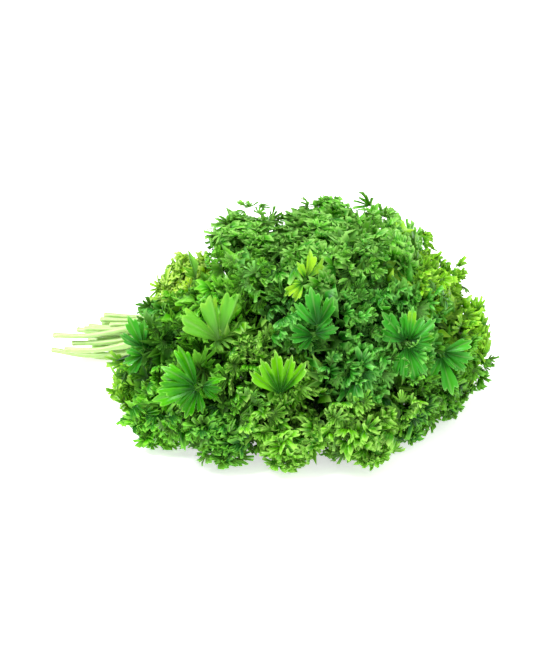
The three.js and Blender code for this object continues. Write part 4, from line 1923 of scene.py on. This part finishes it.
@dataclass(frozen=True)
class PhotoCamera:
    """The camera, placed round a target by angles.

    Args:
        azimuth: Degrees from the front of the frame towards +x.
        elevation: Degrees above the table.
        distance: Metres from the target.
        lens: Focal length in millimetres.
        sensor: Width of the sensor in millimetres.
        clip: Nearest and furthest distance that it sees, in metres.
        target: The point that it looks at, in metres.
    """

    azimuth: float = 50.0
    elevation: float = 22.0
    distance: float = 0.712
    lens: float = 85.0
    sensor: float = 36.0
    clip: tuple[float, float] = (0.01, 20.0)
    target: Point = (0.0164, -0.0015, 0.038)

    def build(self) -> None:
        """Makes the scene's camera."""
        back = direction_to(self.azimuth, self.elevation)
        data = bpy.data.cameras.new("photo_camera")
        data.lens = self.lens
        data.sensor_width = self.sensor
        data.clip_start, data.clip_end = self.clip
        camera = bpy.data.objects.new("photo_camera", data)
        camera.location = Vector(self.target) + back * self.distance
        camera.rotation_euler = back.to_track_quat("Z", "Y").to_euler()
        bpy.context.scene.collection.objects.link(camera)
        bpy.context.scene.camera = camera


@dataclass(frozen=True)
class SoftSun:
    """A far, wide soft light.

    Args:
        name: Its name.
        azimuth: Where it comes from, in degrees from the front of the frame towards +x.
        elevation: Degrees above the table.
        width: How wide it looks, in degrees.
        strength: Its strength.
        colour: Its linear colour.
    """

    name: str
    azimuth: float
    elevation: float
    width: float
    strength: float
    colour: Point

    def build(self) -> None:
        """Makes the light."""
        back = direction_to(self.azimuth, self.elevation)
        data = bpy.data.lights.new(self.name, "SUN")
        data.angle = math.radians(self.width)
        data.energy = self.strength
        data.color = self.colour
        light = bpy.data.objects.new(self.name, data)
        light.location = back
        light.rotation_euler = back.to_track_quat("Z", "Y").to_euler()
        bpy.context.scene.collection.objects.link(light)


@dataclass
class Studio:
    """The white surface, the white surround and the lights.

    Args:
        floor_side: Side of the square surface, in metres.
        surround: Strength of the surround.
        lights: The lights.
    """

    floor_side: float = 6.0
    surround: float = 0.45
    lights: tuple[SoftSun, ...] = (
        SoftSun("window_light", -20, 62, 30, 4.2, (0.97, 0.99, 1.0)),
        SoftSun("front_fill", 80, 40, 70, 1.6, (1.0, 1.0, 1.0)),
    )

    def build(self) -> None:
        """Makes the floor, the surround and the lights."""
        half = self.floor_side / 2
        mesh = bpy.data.meshes.new("floor")
        mesh.from_pydata(
            [(-half, -half, 0), (half, -half, 0), (half, half, 0), (-half, half, 0)],
            [], [(0, 1, 2, 3)],
        )
        floor = bpy.data.objects.new("floor", mesh)
        bpy.context.scene.collection.objects.link(floor)
        mesh.materials.append(BoardFinish().build())
        world = bpy.data.worlds.new("white_surround")
        world.use_nodes = True
        background = world.node_tree.nodes["Background"]
        background.inputs["Color"].default_value = linear("ffffff")
        background.inputs["Strength"].default_value = self.surround
        bpy.context.scene.world = world
        for light in self.lights:
            light.build()
        bpy.context.scene.view_settings.view_transform = "Standard"
        bpy.context.scene.view_settings.look = "None"


def main() -> None:
    """Builds the stage, the camera and the bunch, and reports each piece."""
    logging.basicConfig(level=logging.INFO, format="%(name)s: %(message)s")
    Studio().build()
    PhotoCamera().build()
    bunch = Bunch()
    bunch.build()
    bunch.dress()
    total = 0
    for _, piece in bunch.stems + bunch.leaves:
        triangles = 2 * len(piece.data.polygons)
        total += triangles
        LOG.info("%s: %d triangles", piece.name, triangles)
    LOG.info("%d pieces, %d triangles in all", len(bunch.stems + bunch.leaves), total)


if __name__ == "__main__":
    main()
